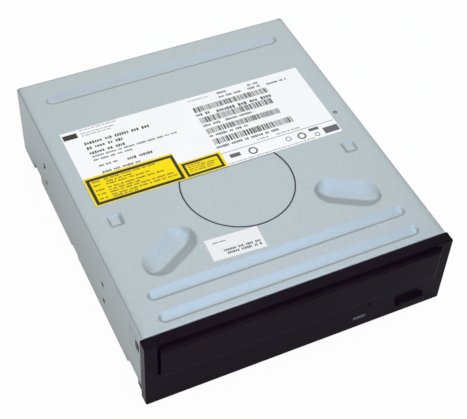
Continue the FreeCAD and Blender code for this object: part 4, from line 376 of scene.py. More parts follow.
@dataclass(frozen=True)
class Stadium:
    """A long pressed shape with round ends, a steep near side and a gentle far side.

    Its lengths are in millimetres. The axis is the direction that it runs in.
    """

    x: float
    y: float
    half_length: float
    half_width: float
    depth: float
    near_slope: float
    axis: Spot = (1.0, 0.0)
    bow: float = 0.55

    def depth_at(self, x: float, y: float) -> float:
        """How far the sheet is pressed down at a point.

        Args:
            x: Place across the case, in millimetres.
            y: Place along the case, in millimetres.

        Returns:
            The depth below the flat sheet, in millimetres.
        """
        along = (x - self.x) * self.axis[0] + (y - self.y) * self.axis[1]
        across = -(x - self.x) * self.axis[1] + (y - self.y) * self.axis[0]
        beyond = max(0.0, abs(along) - self.half_length + self.half_width)
        edge = math.sqrt(max(0.0, self.half_width**2 - beyond**2))
        near = (edge + across) / self.near_slope
        far = min(1.0, max(0.0, (edge - across) / (2.0 * self.half_width - self.near_slope)))
        far += self.bow * far * (1.0 - far)
        return self.depth * max(0.0, soft_min(near, far))


@dataclass(frozen=True)
class StrokeStyle:
    """The make of a row of strokes. Its lengths are shares of the row's height."""

    letters: tuple[int, int] = (2, 7)
    widths: Spot = (0.34, 0.58)
    heights: tuple[float, ...] = (0.7, 0.85, 1.0)
    gap: float = 0.22
    space: float = 0.75
    rest: float = 0.3


@dataclass
class Shaper:
    """Collects shapes, given in millimetres, and makes one object of them."""

    mesh: bmesh.types.BMesh = field(default_factory=bmesh.new)
    style: StrokeStyle = StrokeStyle()

    def panel(self, x0: float, x1: float, y0: float, y1: float, level: float) -> None:
        """Add a flat rectangle.

        Args:
            x0: Its left side.
            x1: Its right side.
            y0: Its front side.
            y1: Its rear side.
            level: Its height.
        """
        size = Matrix.Diagonal((x1 - x0, y1 - y0, 1.0, 1.0))
        place = Matrix.Translation(Vector(((x0 + x1) / 2, (y0 + y1) / 2, level)) * MM)
        scale = Matrix.Scale(MM, 4)
        bmesh.ops.create_grid(self.mesh, x_segments=1, y_segments=1, size=0.5, matrix=place @ scale @ size)

    def turned(
        self,
        profile: Iterable[Spot],
        centre: Place,
        axis: Place,
        sides: int,
    ) -> None:
        """Spin an outline about an axis.

        Args:
            profile: Points of the outline as (radius, place along the axis).
            centre: Where the axis starts.
            axis: The axis's direction.
            sides: Steps in the full turn.
        """
        turn = Vector(axis).to_track_quat("Z", "Y").to_matrix().to_4x4()
        place = Matrix.Translation(Vector(centre) * MM) @ turn
        verts = [self.mesh.verts.new(place @ (Vector((radius, 0.0, rise)) * MM)) for radius, rise in profile]
        edges = [self.mesh.edges.new(pair) for pair in zip(verts, verts[1:])]
        bmesh.ops.spin(
            self.mesh,
            geom=verts + edges,
            cent=place.translation,
            axis=place.to_3x3() @ Vector(UP),
            angle=2.0 * math.pi,
            steps=sides,
            use_merge=True,
            use_duplicate=False,
        )

    def strokes(self, row: Row, level: float, chance: random.Random) -> None:
        """Add a row of short strokes in word-like groups.

        Args:
            row: Where the row starts and ends, its middle line and the strokes' height.
            level: The surface that it is printed on.
            chance: Draws the strokes' sizes.
        """
        start, end, y, tall = row
        style = self.style
        x = start
        while x < end - style.rest * tall:
            for _ in range(chance.randint(*style.letters)):
                wide = tall * chance.uniform(*style.widths)
                high = tall * chance.choice(style.heights) / 2
                if x + wide > end:
                    break
                self.panel(x, x + wide, y - high, y + high, level)
                x += wide + style.gap * tall
            x += style.space * tall

    def finish(
        self, name: str, material: bpy.types.Material, smooth_angle: Optional[float] = 35.0
    ) -> bpy.types.Object:
        """Turn the collected shapes into an object.

        Args:
            name: The object's name.
            material: The material of all its faces.
            smooth_angle: Edges sharper than this many degrees stay sharp. None leaves all faces flat.

        Returns:
            The new object, linked to the scene.
        """
        bmesh.ops.remove_doubles(self.mesh, verts=self.mesh.verts, dist=MERGE * MM)
        bmesh.ops.recalc_face_normals(self.mesh, faces=self.mesh.faces)
        highest = max(self.mesh.faces, key=lambda face: face.calc_center_median().z)
        if highest.normal.z < 0.0:
            bmesh.ops.reverse_faces(self.mesh, faces=self.mesh.faces)
        data = bpy.data.meshes.new(name)
        self.mesh.to_mesh(data)
        self.mesh.free()
        data.materials.append(material)
        if smooth_angle is not None:
            data.shade_smooth()
            data.set_sharp_from_angle(angle=math.radians(smooth_angle))
        piece = bpy.data.objects.new(name, data)
        bpy.context.scene.collection.objects.link(piece)
        return piece


class Workshop:
    """Holds the materials and takes in finished pieces."""

    def __init__(self, frame: dict) -> None:
        """Make every material.

        Args:
            frame: The loaded frame, with its nodes and record.
        """
        self.frame = frame
        self.materials = {finish.name: finish.make() for finish in FINISHES}

    def paint_nodes(self) -> None:
        """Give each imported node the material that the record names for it."""
        wanted = {item["node"]: item["material_slot"] for item in self.frame["record"]["subparts"]}
        for name, node in self.frame["nodes"].items():
            material = self.materials[wanted[name]]
            if not node.material_slots:
                node.data.materials.append(material)
            for slot in node.material_slots:
                slot.material = material
        LOG.info("painted %d nodes", len(wanted))

    def add(self, piece: bpy.types.Object, slot: str, *nodes: str) -> None:
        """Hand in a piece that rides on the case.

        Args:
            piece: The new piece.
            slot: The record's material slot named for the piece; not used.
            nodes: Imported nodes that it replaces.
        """
        if nodes:
            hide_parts(*nodes)
        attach(piece, CASE_BODY)
        LOG.info("added %s: %d faces", piece.name, len(piece.data.polygons))


@dataclass
class SteelCover:
    """The folded steel cover: pressed roof, two side walls with cut-outs and a rear flange.

    Its lengths are in millimetres and its angle in degrees.
    """

    sheet: float = 0.8
    fold: float = 0.9
    fold_steps: int = 5
    # How far the roof's front edge dips, as y and depth
    front_lip: tuple[Spot, ...] = ((0.0, 0.4), (0.5, 0.1))
    ribs: tuple[Stadium, ...] = (
        Stadium(x=0.0, y=6.7, half_length=62.6, half_width=3.05, depth=1.15, near_slope=1.5),
        Stadium(x=0.0, y=19.1, half_length=62.6, half_width=3.05, depth=1.15, near_slope=1.5),
        Stadium(x=0.0, y=149.5, half_length=62.6, half_width=3.3, depth=1.15, near_slope=1.6),
    )
    dishes: tuple[Stadium, ...] = tuple(
        Stadium(
            x=side * 44.5, y=38.5, half_length=15.2, half_width=8.2, depth=2.1, near_slope=6.0,
            axis=(0.863, -side * 0.507), bow=0.2,
        )
        for side in SIDES
    )
    # The middles of the small square dents
    squares: tuple[Spot, ...] = ((-59.5, 64.1), (59.5, 64.1))
    square_half: float = 3.5
    square_depth: float = 0.8
    square_slope: float = 1.4
    disc_radius: float = 26.7
    disc_depth: float = 0.22
    disc_step: float = 0.6
    # Heights of the walls' grid lines, with one at every edge of a cut-out
    wall_levels: tuple[float, ...] = (
        36.6, 33.0, 32.6, 29.6, 28.0, 26.2, 24.5, 18.9, 18.5, 15.9, 12.6, 7.4, 5.4, 3.6, 3.3, 2.0, 1.8, 0.9,
        0.0,
    )
    # Each cut-out as y0, y1, z0, z1
    wall_cuts: tuple[Box, ...] = (
        (0.0, 6.8, 0.0, 3.3),
        (6.8, 19.0, 0.0, 3.6),
        (83.5, 92.0, 0.0, 1.8),
        (137.0, 148.0, 0.0, 5.4),
        (5.0, 9.0, 24.5, 29.6),
    )
    corner_cut: float = 2.0
    # The sunk patch round the clip slot
    patch_end: float = 14.6
    patch_low: float = 18.5
    patch_high: float = 33.0
    patch_depth: float = 0.4
    patch_slope: float = 0.4
    hole_radius: float = 1.3
    hole_square: float = 2.6
    hole_sides: int = 32
    # Each side hole as y, z
    hole_centres: tuple[Spot, ...] = ((47.4, 10.0), (47.4, 21.84), (126.65, 10.0), (126.65, 21.84))
    rear_levels: tuple[float, ...] = (34.0, 28.0, 22.0, 18.0)
    collar_radius: float = 2.0
    collar_length: float = 1.4
    bore_gap: float = 0.1
    bore_sink: float = 0.06
    mouth_gap: float = 0.02
    mouth_sink: float = 0.03
    # The painted shadow line round the disc circle: its width, its rise above the roof and its steps
    line_width: float = 0.7
    line_rise: float = 0.03
    line_sides: int = 160
    # The small raised dot beside the label, its outline as radius and height
    pip: Spot = (64.5, 87.8)
    pip_outline: tuple[Spot, ...] = ((0.45, 0.02), (0.75, 0.05), (1.0, 0.02))
    pip_sides: int = 24
    # The roof's grid across its right half and along it, finer where shapes are pressed in
    spans_across: tuple[Span, ...] = (
        (0.0, 28.0, 0.7), (28.0, 55.0, 0.75), (55.0, 64.0, 0.6), (64.0, HALF_WIDTH - fold, 2.7),
    )
    spans_along: tuple[Span, ...] = (
        (0.0, 1.0, 0.5), (1.0, 3.0, 1.0), (3.0, 10.6, 0.4), (10.6, 15.2, 2.3), (15.2, 23.0, 0.4),
        (23.0, 26.0, 1.5), (26.0, 36.4, 0.7), (36.4, 49.0, 0.5), (49.0, 75.0, 0.6), (75.0, 91.0, 0.8),
        (91.0, 145.2, 6.0), (145.2, 153.6, 0.45), (153.6, DEPTH - fold, 3.0),
    )
    grid_gap: float = 0.12
    sharp_angle: float = 50.0
    shaper: Shaper = field(default_factory=Shaper)

    def press_depth(self, x: float, y: float) -> float:
        """How far the roof is pressed down at a point.

        Args:
            x: Place across the case, in millimetres.
            y: Place along the case, in millimetres.

        Returns:
            The depth below the flat roof, in millimetres.
        """
        depth = sum(shape.depth_at(x, y) for shape in self.ribs + self.dishes)
        for cx, cy in self.squares:
            inside = self.square_half - max(abs(x - cx), abs(y - cy))
            depth += self.square_depth * smooth(inside / self.square_slope)
        reach = self.disc_radius - math.hypot(x, y - SPINDLE_Y)
        depth += self.disc_depth * smooth(reach / self.disc_step)
        for place, drop in self.front_lip:
            if abs(y - place) < MERGE:
                depth += drop
        return depth

    def roof_x(self) -> list[float]:
        """Grid lines across the roof.

        Returns:
            Their places in millimetres, from left to right.
        """
        left = tuple((-end, -start, step) for start, end, step in self.spans_across)
        return stretch_lines(left + self.spans_across)

    def roof_y(self) -> list[float]:
        """Grid lines along the roof, with one at every cut and hole of the walls.

        Returns:
            Their places in millimetres, from front to rear.
        """
        lines = stretch_lines(self.spans_along)
        fixed = {self.patch_end, self.patch_end - self.patch_slope, DEPTH - self.corner_cut}
        for y0, y1, _, _ in self.wall_cuts:
            fixed |= {y0, y1}
        for y, _ in self.hole_centres:
            fixed |= {y - self.hole_square, y + self.hole_square}
        kept = [line for line in lines if all(abs(line - value) > self.grid_gap for value in fixed)]
        return sorted(set(kept) | {round(value, DIGITS) for value in fixed})

    def build(self, material: bpy.types.Material) -> bpy.types.Object:
        """Fold the cover from one sheet.

        Args:
            material: The steel.

        Returns:
            The cover as one object with a solidify modifier for the sheet's thickness.
        """
        self._press_roof()
        for side in SIDES:
            self._fold_wall(side)
        self._fold_rear()
        self._cut_walls()
        for side in SIDES:
            for y, z in self.hole_centres:
                self._open_hole(side, y, z)
            self._shape_wall(side)
        cover = self.shaper.finish("steel_cover", material, self.sharp_angle)
        thick = cover.modifiers.new("sheet", "SOLIDIFY")
        thick.thickness = self.sheet * MM
        thick.offset = -1.0
        return cover

    def _press_roof(self) -> None:
        """Make the roof's grid and sink its pressed shapes."""
        xs, ys = self.roof_x(), self.roof_y()
        columns, rows = len(xs) - 1, len(ys) - 1
        made = bmesh.ops.create_grid(self.shaper.mesh, x_segments=columns, y_segments=rows, size=1.0)
        for vert in made["verts"]:
            x = xs[round((vert.co.x + 1.0) / 2.0 * columns)]
            y = ys[round((vert.co.y + 1.0) / 2.0 * rows)]
            vert.co = Vector((x, y, HEIGHT - self.press_depth(x, y))) * MM

    def _border(self, axis: int, value: float) -> list[bmesh.types.BMEdge]:
        """The sheet's open edges that lie at a place on one axis.

        Args:
            axis: The axis, 0 or 1.
            value: The place on it, in millimetres.

        Returns:
            The open edges there.
        """
        return [
            edge
            for edge in self.shaper.mesh.edges
            if edge.is_boundary and all(abs(vert.co[axis] - value * MM) < NEAR * MM for vert in edge.verts)
        ]

    def _pull(
        self, edges: list[bmesh.types.BMEdge], axis: int, value: float, level: float
    ) -> list[bmesh.types.BMEdge]:
        """Extend the sheet from open edges.

        Args:
            edges: The open edges to extend.
            axis: The axis across the fold, 0 or 1.
            value: The new edges' place on that axis.
            level: The new edges' height.

        Returns:
            The new open edges.
        """
        made = bmesh.ops.extrude_edge_only(self.shaper.mesh, edges=edges)["geom"]
        verts = {item for item in made if isinstance(item, bmesh.types.BMVert)}
        for vert in verts:
            vert.co[axis] = value * MM
            vert.co.z = level * MM
        borders = [item for item in made if isinstance(item, bmesh.types.BMEdge) and item.is_boundary]
        return [edge for edge in borders if verts.issuperset(edge.verts)]

    def _bend(
        self, edges: list[bmesh.types.BMEdge], axis: int, side: float, reach: float
    ) -> list[bmesh.types.BMEdge]:
        """Bend the sheet down round the fold.

        Args:
            edges: The roof's open edges.
            axis: The axis across the fold, 0 or 1.
            side: The end of that axis, -1.0 or 1.0.
            reach: How far out the bent sheet ends.

        Returns:
            The new open edges below the fold.
        """
        for step in range(1, self.fold_steps + 1):
            angle = math.pi / 2 * step / self.fold_steps
            place = side * (reach - self.fold + self.fold * math.sin(angle))
            edges = self._pull(edges, axis, place, HEIGHT - self.fold + self.fold * math.cos(angle))
        return edges

    def _fold_wall(self, side: float) -> None:
        """Fold one side wall down from the roof.

        Args:
            side: -1.0 for the left wall and 1.0 for the right one.
        """
        edges = self._bend(self._border(0, side * (HALF_WIDTH - self.fold)), 0, side, HALF_WIDTH)
        for level in self._levels():
            edges = self._pull(edges, 0, side * HALF_WIDTH, level)

    def _levels(self) -> list[float]:
        """Heights of the wall's grid lines, with one at every hole's square.

        Returns:
            The heights in millimetres, from the top down.
        """
        levels = set(self.wall_levels)
        for _, z in self.hole_centres:
            levels |= {round(z - self.hole_square, DIGITS), round(z + self.hole_square, DIGITS)}
        return sorted(levels, reverse=True)

    def _fold_rear(self) -> None:
        """Fold the rear flange down from the roof."""
        half = (HALF_WIDTH - self.fold + NEAR) * MM
        border = self._border(1, DEPTH - self.fold)
        edges = [edge for edge in border if all(abs(vert.co.x) < half for vert in edge.verts)]
        edges = self._bend(edges, 1, 1.0, DEPTH)
        for level in self.rear_levels:
            edges = self._pull(edges, 1, DEPTH, level)

    def _cut_walls(self) -> None:
        """Take out the walls' cut-outs and the squares round their holes."""
        half = self.hole_square
        cuts = list(self.wall_cuts) + [(y - half, y + half, z - half, z + half) for y, z in self.hole_centres]
        gone = []
        for face in self.shaper.mesh.faces:
            if any(abs(abs(vert.co.x) - HALF_WIDTH * MM) > NEAR * MM for vert in face.verts):
                continue
            middle = face.calc_center_median() / MM
            if any(y0 < middle.y < y1 and z0 < middle.z < z1 for y0, y1, z0, z1 in cuts):
                gone.append(face)
        bmesh.ops.delete(self.shaper.mesh, geom=gone, context="FACES")

    def _open_hole(self, side: float, y: float, z: float) -> None:
        """Fill the square round a hole up to a circle.

        Args:
            side: -1.0 for the left wall and 1.0 for the right one.
            y: The hole's place along the case.
            z: Its height.
        """
        centre = Vector((side * HALF_WIDTH, y, z)) * MM
        reach = Vector((NEAR, self.hole_square + NEAR, self.hole_square + NEAR)) * MM
        square = [
            edge
            for edge in self.shaper.mesh.edges
            if edge.is_boundary
            and all(abs(vert.co[i] - centre[i]) < reach[i] for vert in edge.verts for i in range(3))
        ]
        place = Matrix.Translation(centre) @ Matrix.Rotation(math.pi / 2, 4, "Y")
        circle = bmesh.ops.create_circle(
            self.shaper.mesh,
            cap_ends=False,
            radius=self.hole_radius * MM,
            segments=self.hole_sides,
            matrix=place,
        )["verts"]
        rim = {edge for vert in circle for edge in vert.link_edges}
        bmesh.ops.bridge_loops(self.shaper.mesh, edges=square + list(rim))

    def _shape_wall(self, side: float) -> None:
        """Run a wall to the rear, chamfer its lower corner and sink the patch round the clip slot.

        Args:
            side: -1.0 for the left wall and 1.0 for the right one.
        """
        last = DEPTH - self.fold
        for vert in self.shaper.mesh.verts:
            x, y, z = vert.co / MM
            if abs(x - side * HALF_WIDTH) > NEAR:
                continue
            if abs(y - last) < NEAR:
                y = DEPTH
            if y > DEPTH - NEAR and z < NEAR:
                y, z = DEPTH - self.corner_cut / 2, self.corner_cut / 2
            inside = min(self.patch_end - y, z - self.patch_low, self.patch_high - z)
            sink = self.patch_depth * smooth(inside / self.patch_slope)
            vert.co = Vector((side * (HALF_WIDTH - sink), y, z)) * MM

    def dress(self, shop: Workshop) -> None:
        """Build the cover with its collars, near black as painted shade in the holes, and its painted shadow
        line round the disc, and hand them in.

        Args:
            shop: Holds the materials and takes the pieces in.
        """
        steel = "galvanised_steel"
        shop.add(self.build(shop.materials[steel]), steel, "top_cover")
        # The collars are near black as painted shade inside the side holes
        shop.add(self._collars(shop.materials["painted_shade_bore"]), steel)
        # The dark ring round the disc circle is painted shadow of the circle's step
        shop.add(self._lines(shop.materials["painted_shadow_line_and_dot"]), steel)

    def _collars(self, material: bpy.types.Material) -> bpy.types.Object:
        """Turn the collars behind the side holes, near black as painted shade deep in the holes.

        Args:
            material: Their finish.

        Returns:
            All collars as one object.
        """
        shaper = Shaper()
        bore, mouth = self.hole_radius - self.bore_gap, self.hole_radius - self.mouth_gap
        end = self.sheet + self.collar_length
        tube = (
            (bore, self.bore_sink), (mouth, self.mouth_sink), (mouth, self.sheet),
            (self.collar_radius, self.sheet), (self.collar_radius, end), (bore, end), (bore, self.bore_sink),
        )
        for side in SIDES:
            for y, z in self.hole_centres:
                shaper.turned(tube, (side * HALF_WIDTH, y, z), (-side, 0.0, 0.0), self.hole_sides)
        return shaper.finish("hole_shade_collars", material)

    def _lines(self, material: bpy.types.Material) -> bpy.types.Object:
        """Draw a dark line round the disc circle's step as painted shadow of that step, and the small dot
        beside the label.

        Args:
            material: Their finish.

        Returns:
            Both as one object.
        """
        shaper = Shaper()
        half = self.line_width / 2
        ring = ((self.disc_radius - half, 0.0), (self.disc_radius + half, 0.0))
        shaper.turned(ring, (0.0, SPINDLE_Y, HEIGHT + self.line_rise), UP, self.line_sides)
        shaper.turned(self.pip_outline, (*self.pip, HEIGHT), UP, self.pip_sides)
        return shaper.finish("disc_shadow_line_and_dot", material)


@dataclass
class LabelPrint:
    """Plain bars, strokes and marks on the labels, in place of their print.

    Its lengths are in millimetres.
    """

    label_top: float = 41.42
    field_top: float = 41.5
    rise: float = 0.03
    # Each yellow field's frame as a rectangle and its bars' width
    frames: tuple[tuple[Box, float], ...] = (
        ((-63.8, -20.7, 75.3, 91.8), 1.55),
        ((-19.3, -0.4, 75.4, 84.3), 1.3),
    )
    bars: tuple[Box, ...] = (
        (1.0, 41.3, 113.5, 117.1),
        (1.0, 39.5, 105.4, 109.3),
        (0.9, 39.5, 97.8, 101.3),
        (1.0, 42.6, 89.8, 93.7),
    )
    bar_widths: tuple[float, ...] = (0.35, 0.35, 0.6, 0.9)
    bar_gaps: tuple[float, ...] = (0.3, 0.45, 0.6)
    bar_rest: float = 0.4
    rule: Box = (0.9, 60.9, 83.2, 83.45)
    stamp: Box = (-64.0, -57.0, 119.5, 122.8)
    # Rows in place of the label's text, first those on its left half
    row_seed: int = 100
    rows: tuple[Row, ...] = (
        (-55.0, -36.5, 123.6, 0.6), (-55.0, -38.5, 121.3, 0.6), (-55.0, -40.0, 119.7, 0.6),
        (-55.8, -22.8, 114.2, 1.8), (-55.8, -37.0, 110.9, 1.8), (-55.7, -37.0, 107.4, 1.8),
        (-55.2, -12.5, 104.9, 1.15), (-55.4, -35.0, 102.5, 1.15), (-54.6, -44.6, 98.2, 1.2),
        (-40.7, -28.0, 97.4, 1.7), (-54.4, -35.6, 93.8, 1.3),
        (0.9, 11.9, 122.3, 0.6), (16.6, 22.4, 122.4, 1.4), (33.1, 39.1, 122.0, 1.4), (16.3, 28.4, 119.5, 1.4),
        (32.0, 39.4, 119.5, 1.4), (42.4, 53.2, 119.0, 1.3), (0.6, 9.1, 111.6, 1.8), (11.2, 40.9, 110.8, 2.1),
        (0.9, 10.3, 103.6, 1.5), (12.7, 27.6, 103.6, 1.5), (0.8, 21.4, 96.0, 1.5), (0.7, 33.4, 87.8, 1.6),
        (20.8, 26.9, 85.2, 0.8), (30.8, 43.6, 85.0, 0.8), (1.4, 47.1, 75.8, 0.5),
    )
    field_seed: int = 300
    field_rows: tuple[Row, ...] = (
        (-61.4, -57.2, 89.3, 1.0), (-61.4, -57.2, 86.9, 1.0), (-61.4, -57.2, 83.8, 1.0),
        (-61.4, -57.2, 81.2, 1.0), (-61.4, -57.2, 78.4, 1.0),
        (-55.4, -29.9, 89.5, 1.0), (-55.0, -42.6, 87.8, 1.0), (-55.4, -34.0, 86.2, 1.0),
        (-55.4, -27.7, 84.0, 1.0), (-55.4, -40.0, 82.4, 1.0), (-55.4, -23.5, 80.9, 1.0),
        (-55.4, -23.2, 79.1, 1.0), (-55.1, -42.2, 77.8, 1.0),
        (-16.9, -9.1, 82.2, 0.8), (-16.9, -2.7, 80.9, 0.8), (-16.9, -4.0, 79.6, 0.8),
        (-16.9, -5.0, 78.3, 0.8),
    )
    # Each ring as x, y, outer radius and inner radius
    rings: tuple[tuple[float, float, float, float], ...] = (
        (15.8, 79.5, 2.3, 1.5), (34.8, 79.9, 1.5, 1.1), (41.7, 79.3, 2.2, 1.4), (49.2, 77.4, 1.3, 0.9),
    )
    ring_sides: int = 28
    blocks: tuple[Box, ...] = (
        (4.0, 9.4, 78.9, 81.3), (46.4, 51.6, 80.4, 82.2), (53.2, 61.0, 76.2, 80.2),
    )
    # The small turned label: its middle, its turn in degrees and its rows seen from the middle
    small_middle: Spot = (-16.3, 30.8)
    small_turn: float = -2.6
    small_seed: int = 500
    small_rows: tuple[Row, ...] = (
        (-9.4, -2.6, 3.4, 0.7), (-6.2, 11.0, -1.9, 1.3), (-5.2, 11.2, -3.7, 1.3),
    )

    def dress(self, shop: Workshop) -> None:
        """Build every printed piece and hand it in.

        Args:
            shop: Holds the materials and takes the pieces in.
        """
        white, yellow, cream = "label_white", "label_yellow", "label_cream"
        self._print(shop, "field_frames", Ink.DARK, yellow, self._draw_frames)
        self._print(shop, "label_bars", Ink.DARK, white, self._draw_bars)
        self._print(shop, "label_rows", Ink.TEXT, white, self._draw_rows)
        self._print(shop, "label_marks", Ink.GREY, white, self._draw_marks)
        self._print(shop, "field_rows", Ink.OLIVE, yellow, self._draw_field_rows)
        self._print(shop, "small_label_rows", Ink.TEXT, cream, self._draw_small_rows)

    def _print(
        self, shop: Workshop, name: str, ink: Ink, slot: str, draw: Callable[[Shaper], None]
    ) -> None:
        """Make one flat printed piece.

        Args:
            shop: Takes the piece in.
            name: The piece's name.
            ink: What it is printed with.
            slot: The record's slot of the label it is printed on.
            draw: Adds its shapes.
        """
        shaper = Shaper()
        draw(shaper)
        shop.add(shaper.finish(name, shop.materials[ink.value], None), slot)

    def _draw_frames(self, shaper: Shaper) -> None:
        """Draw dark frames round the yellow fields.

        Args:
            shaper: Takes the shapes.
        """
        level = self.field_top + self.rise
        for (x0, x1, y0, y1), width in self.frames:
            shaper.panel(x0, x1, y0, y0 + width, level)
            shaper.panel(x0, x1, y1 - width, y1, level)
            shaper.panel(x0, x0 + width, y0 + width, y1 - width, level)
            shaper.panel(x1 - width, x1, y0 + width, y1 - width, level)

    def _draw_bars(self, shaper: Shaper) -> None:
        """Draw four blocks of upright bars, the thin rule below them and a plain block in the corner.

        Args:
            shaper: Takes the shapes.
        """
        level = self.label_top + self.rise
        for number, (x0, x1, y0, y1) in enumerate(self.bars):
            chance = random.Random(number)
            x = x0
            while x < x1 - self.bar_rest:
                wide = chance.choice(self.bar_widths)
                shaper.panel(x, min(x + wide, x1), y0, y1, level)
                x += wide + chance.choice(self.bar_gaps)
        shaper.panel(*self.rule, level)
        shaper.panel(*self.stamp, level)

    def _draw_stroke_rows(self, shaper: Shaper, rows: tuple[Row, ...], top: float, seed: int) -> None:
        """Draw rows of small strokes in place of text.

        Args:
            shaper: Takes the strokes.
            rows: The rows.
            top: The printed surface's height.
            seed: The first row's seed. Each further row's is one higher.
        """
        for number, row in enumerate(rows):
            shaper.strokes(row, top + self.rise, random.Random(seed + number))

    def _draw_rows(self, shaper: Shaper) -> None:
        """Draw the main label's rows.

        Args:
            shaper: Takes the shapes.
        """
        self._draw_stroke_rows(shaper, self.rows, self.label_top, self.row_seed)

    def _draw_field_rows(self, shaper: Shaper) -> None:
        """Draw the yellow fields' rows.

        Args:
            shaper: Takes the shapes.
        """
        self._draw_stroke_rows(shaper, self.field_rows, self.field_top, self.field_seed)

    def _draw_small_rows(self, shaper: Shaper) -> None:
        """Draw the small label's rows and turn them with it.

        Args:
            shaper: Takes the shapes.
        """
        self._draw_stroke_rows(shaper, self.small_rows, self.label_top, self.small_seed)
        turn = Matrix.Rotation(math.radians(self.small_turn), 4, "Z")
        place = Matrix.Translation(Vector((*self.small_middle, 0.0)) * MM)
        bmesh.ops.transform(shaper.mesh, matrix=place @ turn, verts=shaper.mesh.verts)

    def _draw_marks(self, shaper: Shaper) -> None:
        """Draw plain rings and blocks along the label's lower edge.

        Args:
            shaper: Takes the shapes.
        """
        level = self.label_top + self.rise
        for x, y, outer, inner in self.rings:
            shaper.turned(((inner, 0.0), (outer, 0.0)), (x, y, level), UP, self.ring_sides)
        for block in self.blocks:
            shaper.panel(*block, level)


@dataclass(frozen=True)
class Lamp:
    """A square soft light that looks at the object, with sizes in metres and its power in watts."""

    name: str
    place: Place
    size: float
    power: float
    colour: Colour


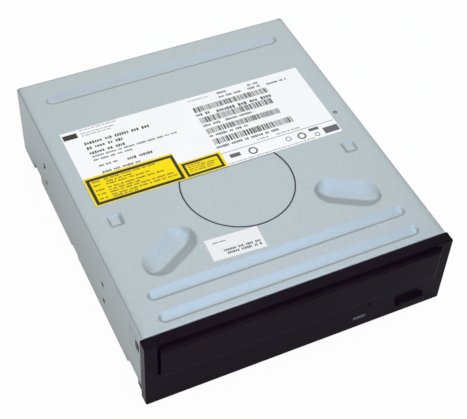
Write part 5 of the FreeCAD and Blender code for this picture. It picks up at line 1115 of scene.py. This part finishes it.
@dataclass
class Studio:
    """Floor, lights, world and camera.

    Lengths are in metres, but the floor's half width and the sensor's width are in millimetres, and the
    focal length is in pixels of the photograph.
    """

    position: Vector = field(default_factory=lambda: Vector((-163.6, -246.7, 414.2)) * MM)
    forward: Vector = field(default_factory=lambda: Vector((0.3095, 0.5913, -0.7447)))
    up: Vector = field(default_factory=lambda: Vector((0.2934, 0.6856, 0.6662)))
    focal_pixels: float = 1113.2
    picture_width: int = 467
    sensor_width: float = 36.0
    clip_start: float = 0.01
    white: Colour = (1.0, 1.0, 1.0)
    ambient: float = 0.42
    ambient_colour: Colour = (0.97, 0.985, 1.0)
    floor_half: float = 3000.0
    floor_gap: float = 0.0001
    floor_glow: float = 0.95
    floor_colour: Colour = (0.8, 0.8, 0.8)
    floor_rough: float = 0.9
    target: Place = (0.0, 0.08, 0.02)
    lamps: tuple[Lamp, ...] = (
        Lamp("key", (-0.6, -0.75, 1.15), 0.4, 10.3, (1.0, 0.985, 0.95)),
        Lamp("front", (0.42, -0.6, 1.15), 0.4, 2.2, (0.97, 0.97, 1.0)),
        Lamp("sky", (0.38, 0.12, 1.4), 0.6, 3.0, (0.5, 0.7, 1.0)),
        Lamp("back", (0.5, 1.2, 1.3), 1.2, 4.6, (1.0, 0.985, 0.95)),
    )

    def set_up(self) -> None:
        """Build the whole studio."""
        self._set_camera()
        self._set_world()
        self._lay_floor()
        for lamp in self.lamps:
            self._hang(lamp)
        bpy.context.scene.view_settings.view_transform = "Standard"
        LOG.info("studio ready with %d lamps", len(self.lamps))

    def _set_camera(self) -> None:
        """Place the camera at the photograph's angle."""
        data = bpy.data.cameras.new("camera")
        data.sensor_fit = "HORIZONTAL"
        data.sensor_width = self.sensor_width
        data.lens = self.focal_pixels / self.picture_width * data.sensor_width
        data.clip_start = self.clip_start
        camera = bpy.data.objects.new("camera", data)
        bpy.context.scene.collection.objects.link(camera)
        forward = self.forward.normalized()
        right = forward.cross(self.up).normalized()
        turn = Matrix((right, right.cross(forward), -forward)).transposed().to_4x4()
        camera.matrix_world = Matrix.Translation(self.position) @ turn
        bpy.context.scene.camera = camera

    def _set_world(self) -> None:
        """Give soft light from all round, seen by the camera as white."""
        world = bpy.data.worlds.new("studio")
        world.use_nodes = True
        bpy.context.scene.world = world
        tree = world.node_tree
        ambient = tree.nodes["Background"]
        ambient.inputs["Color"].default_value = (*self.ambient_colour, 1.0)
        ambient.inputs["Strength"].default_value = self.ambient
        bright = tree.nodes.new("ShaderNodeBackground")
        bright.inputs["Color"].default_value = (*self.white, 1.0)
        bright.inputs["Strength"].default_value = 1.0
        path = tree.nodes.new("ShaderNodeLightPath")
        seen = path.outputs["Is Camera Ray"]
        mixed = self._mix(tree, seen, ambient.outputs["Background"], bright.outputs["Background"])
        tree.links.new(mixed, tree.nodes["World Output"].inputs["Surface"])

    @staticmethod
    def _mix(
        tree: bpy.types.NodeTree,
        factor: bpy.types.NodeSocket,
        plain: bpy.types.NodeSocket,
        bright: bpy.types.NodeSocket,
    ) -> bpy.types.NodeSocket:
        """Mix two shaders.

        Args:
            tree: The nodes of the material or the world.
            factor: The second shader's share.
            plain: The first shader.
            bright: The second shader.

        Returns:
            The mixed shader.
        """
        mix = tree.nodes.new("ShaderNodeMixShader")
        tree.links.new(factor, mix.inputs["Fac"])
        tree.links.new(plain, mix.inputs[1])
        tree.links.new(bright, mix.inputs[2])
        return mix.outputs["Shader"]

    def _lay_floor(self) -> None:
        """Lay the pale floor, which still takes the object's shadow."""
        shaper = Shaper()
        half = self.floor_half
        shaper.panel(-half, half, -half, half, 0.0)
        floor = shaper.finish("studio_floor", self._floor_material(), None)
        floor.location.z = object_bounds()[0][2] - self.floor_gap
        floor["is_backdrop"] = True

    def _floor_material(self) -> bpy.types.Material:
        """Make the floor's material, which the camera sees as nearly white.

        Returns:
            The new material.
        """
        material = bpy.data.materials.new("studio_floor")
        material.use_nodes = True
        tree = material.node_tree
        shader = tree.nodes["Principled BSDF"]
        shader.inputs["Base Color"].default_value = (*self.floor_colour, 1.0)
        shader.inputs["Roughness"].default_value = self.floor_rough
        glow = tree.nodes.new("ShaderNodeEmission")
        glow.inputs["Strength"].default_value = 1.0
        path = tree.nodes.new("ShaderNodeLightPath")
        share = tree.nodes.new("ShaderNodeMath")
        share.operation = "MULTIPLY"
        share.inputs[1].default_value = self.floor_glow
        tree.links.new(path.outputs["Is Camera Ray"], share.inputs[0])
        mixed = self._mix(tree, share.outputs["Value"], shader.outputs["BSDF"], glow.outputs["Emission"])
        tree.links.new(mixed, tree.nodes["Material Output"].inputs["Surface"])
        return material

    def _hang(self, lamp: Lamp) -> None:
        """Hang one lamp and aim it at the object.

        Args:
            lamp: The lamp's place, size, power and colour.
        """
        data = bpy.data.lights.new(lamp.name, "AREA")
        data.size = lamp.size
        data.energy = lamp.power
        data.color = lamp.colour
        light = bpy.data.objects.new(lamp.name, data)
        light.location = lamp.place
        aim = Vector(self.target) - Vector(lamp.place)
        light.rotation_euler = aim.to_track_quat("-Z", "Y").to_euler()
        bpy.context.scene.collection.objects.link(light)


def main() -> None:
    """Load the frame, dress it and set up the studio."""
    logging.basicConfig(level=logging.INFO)
    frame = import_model()
    shop = Workshop(frame)
    shop.paint_nodes()
    SteelCover().dress(shop)
    LabelPrint().dress(shop)
    bpy.context.view_layer.update()
    Studio().set_up()
    bpy.context.view_layer.update()


if __name__ == "__main__":
    main()
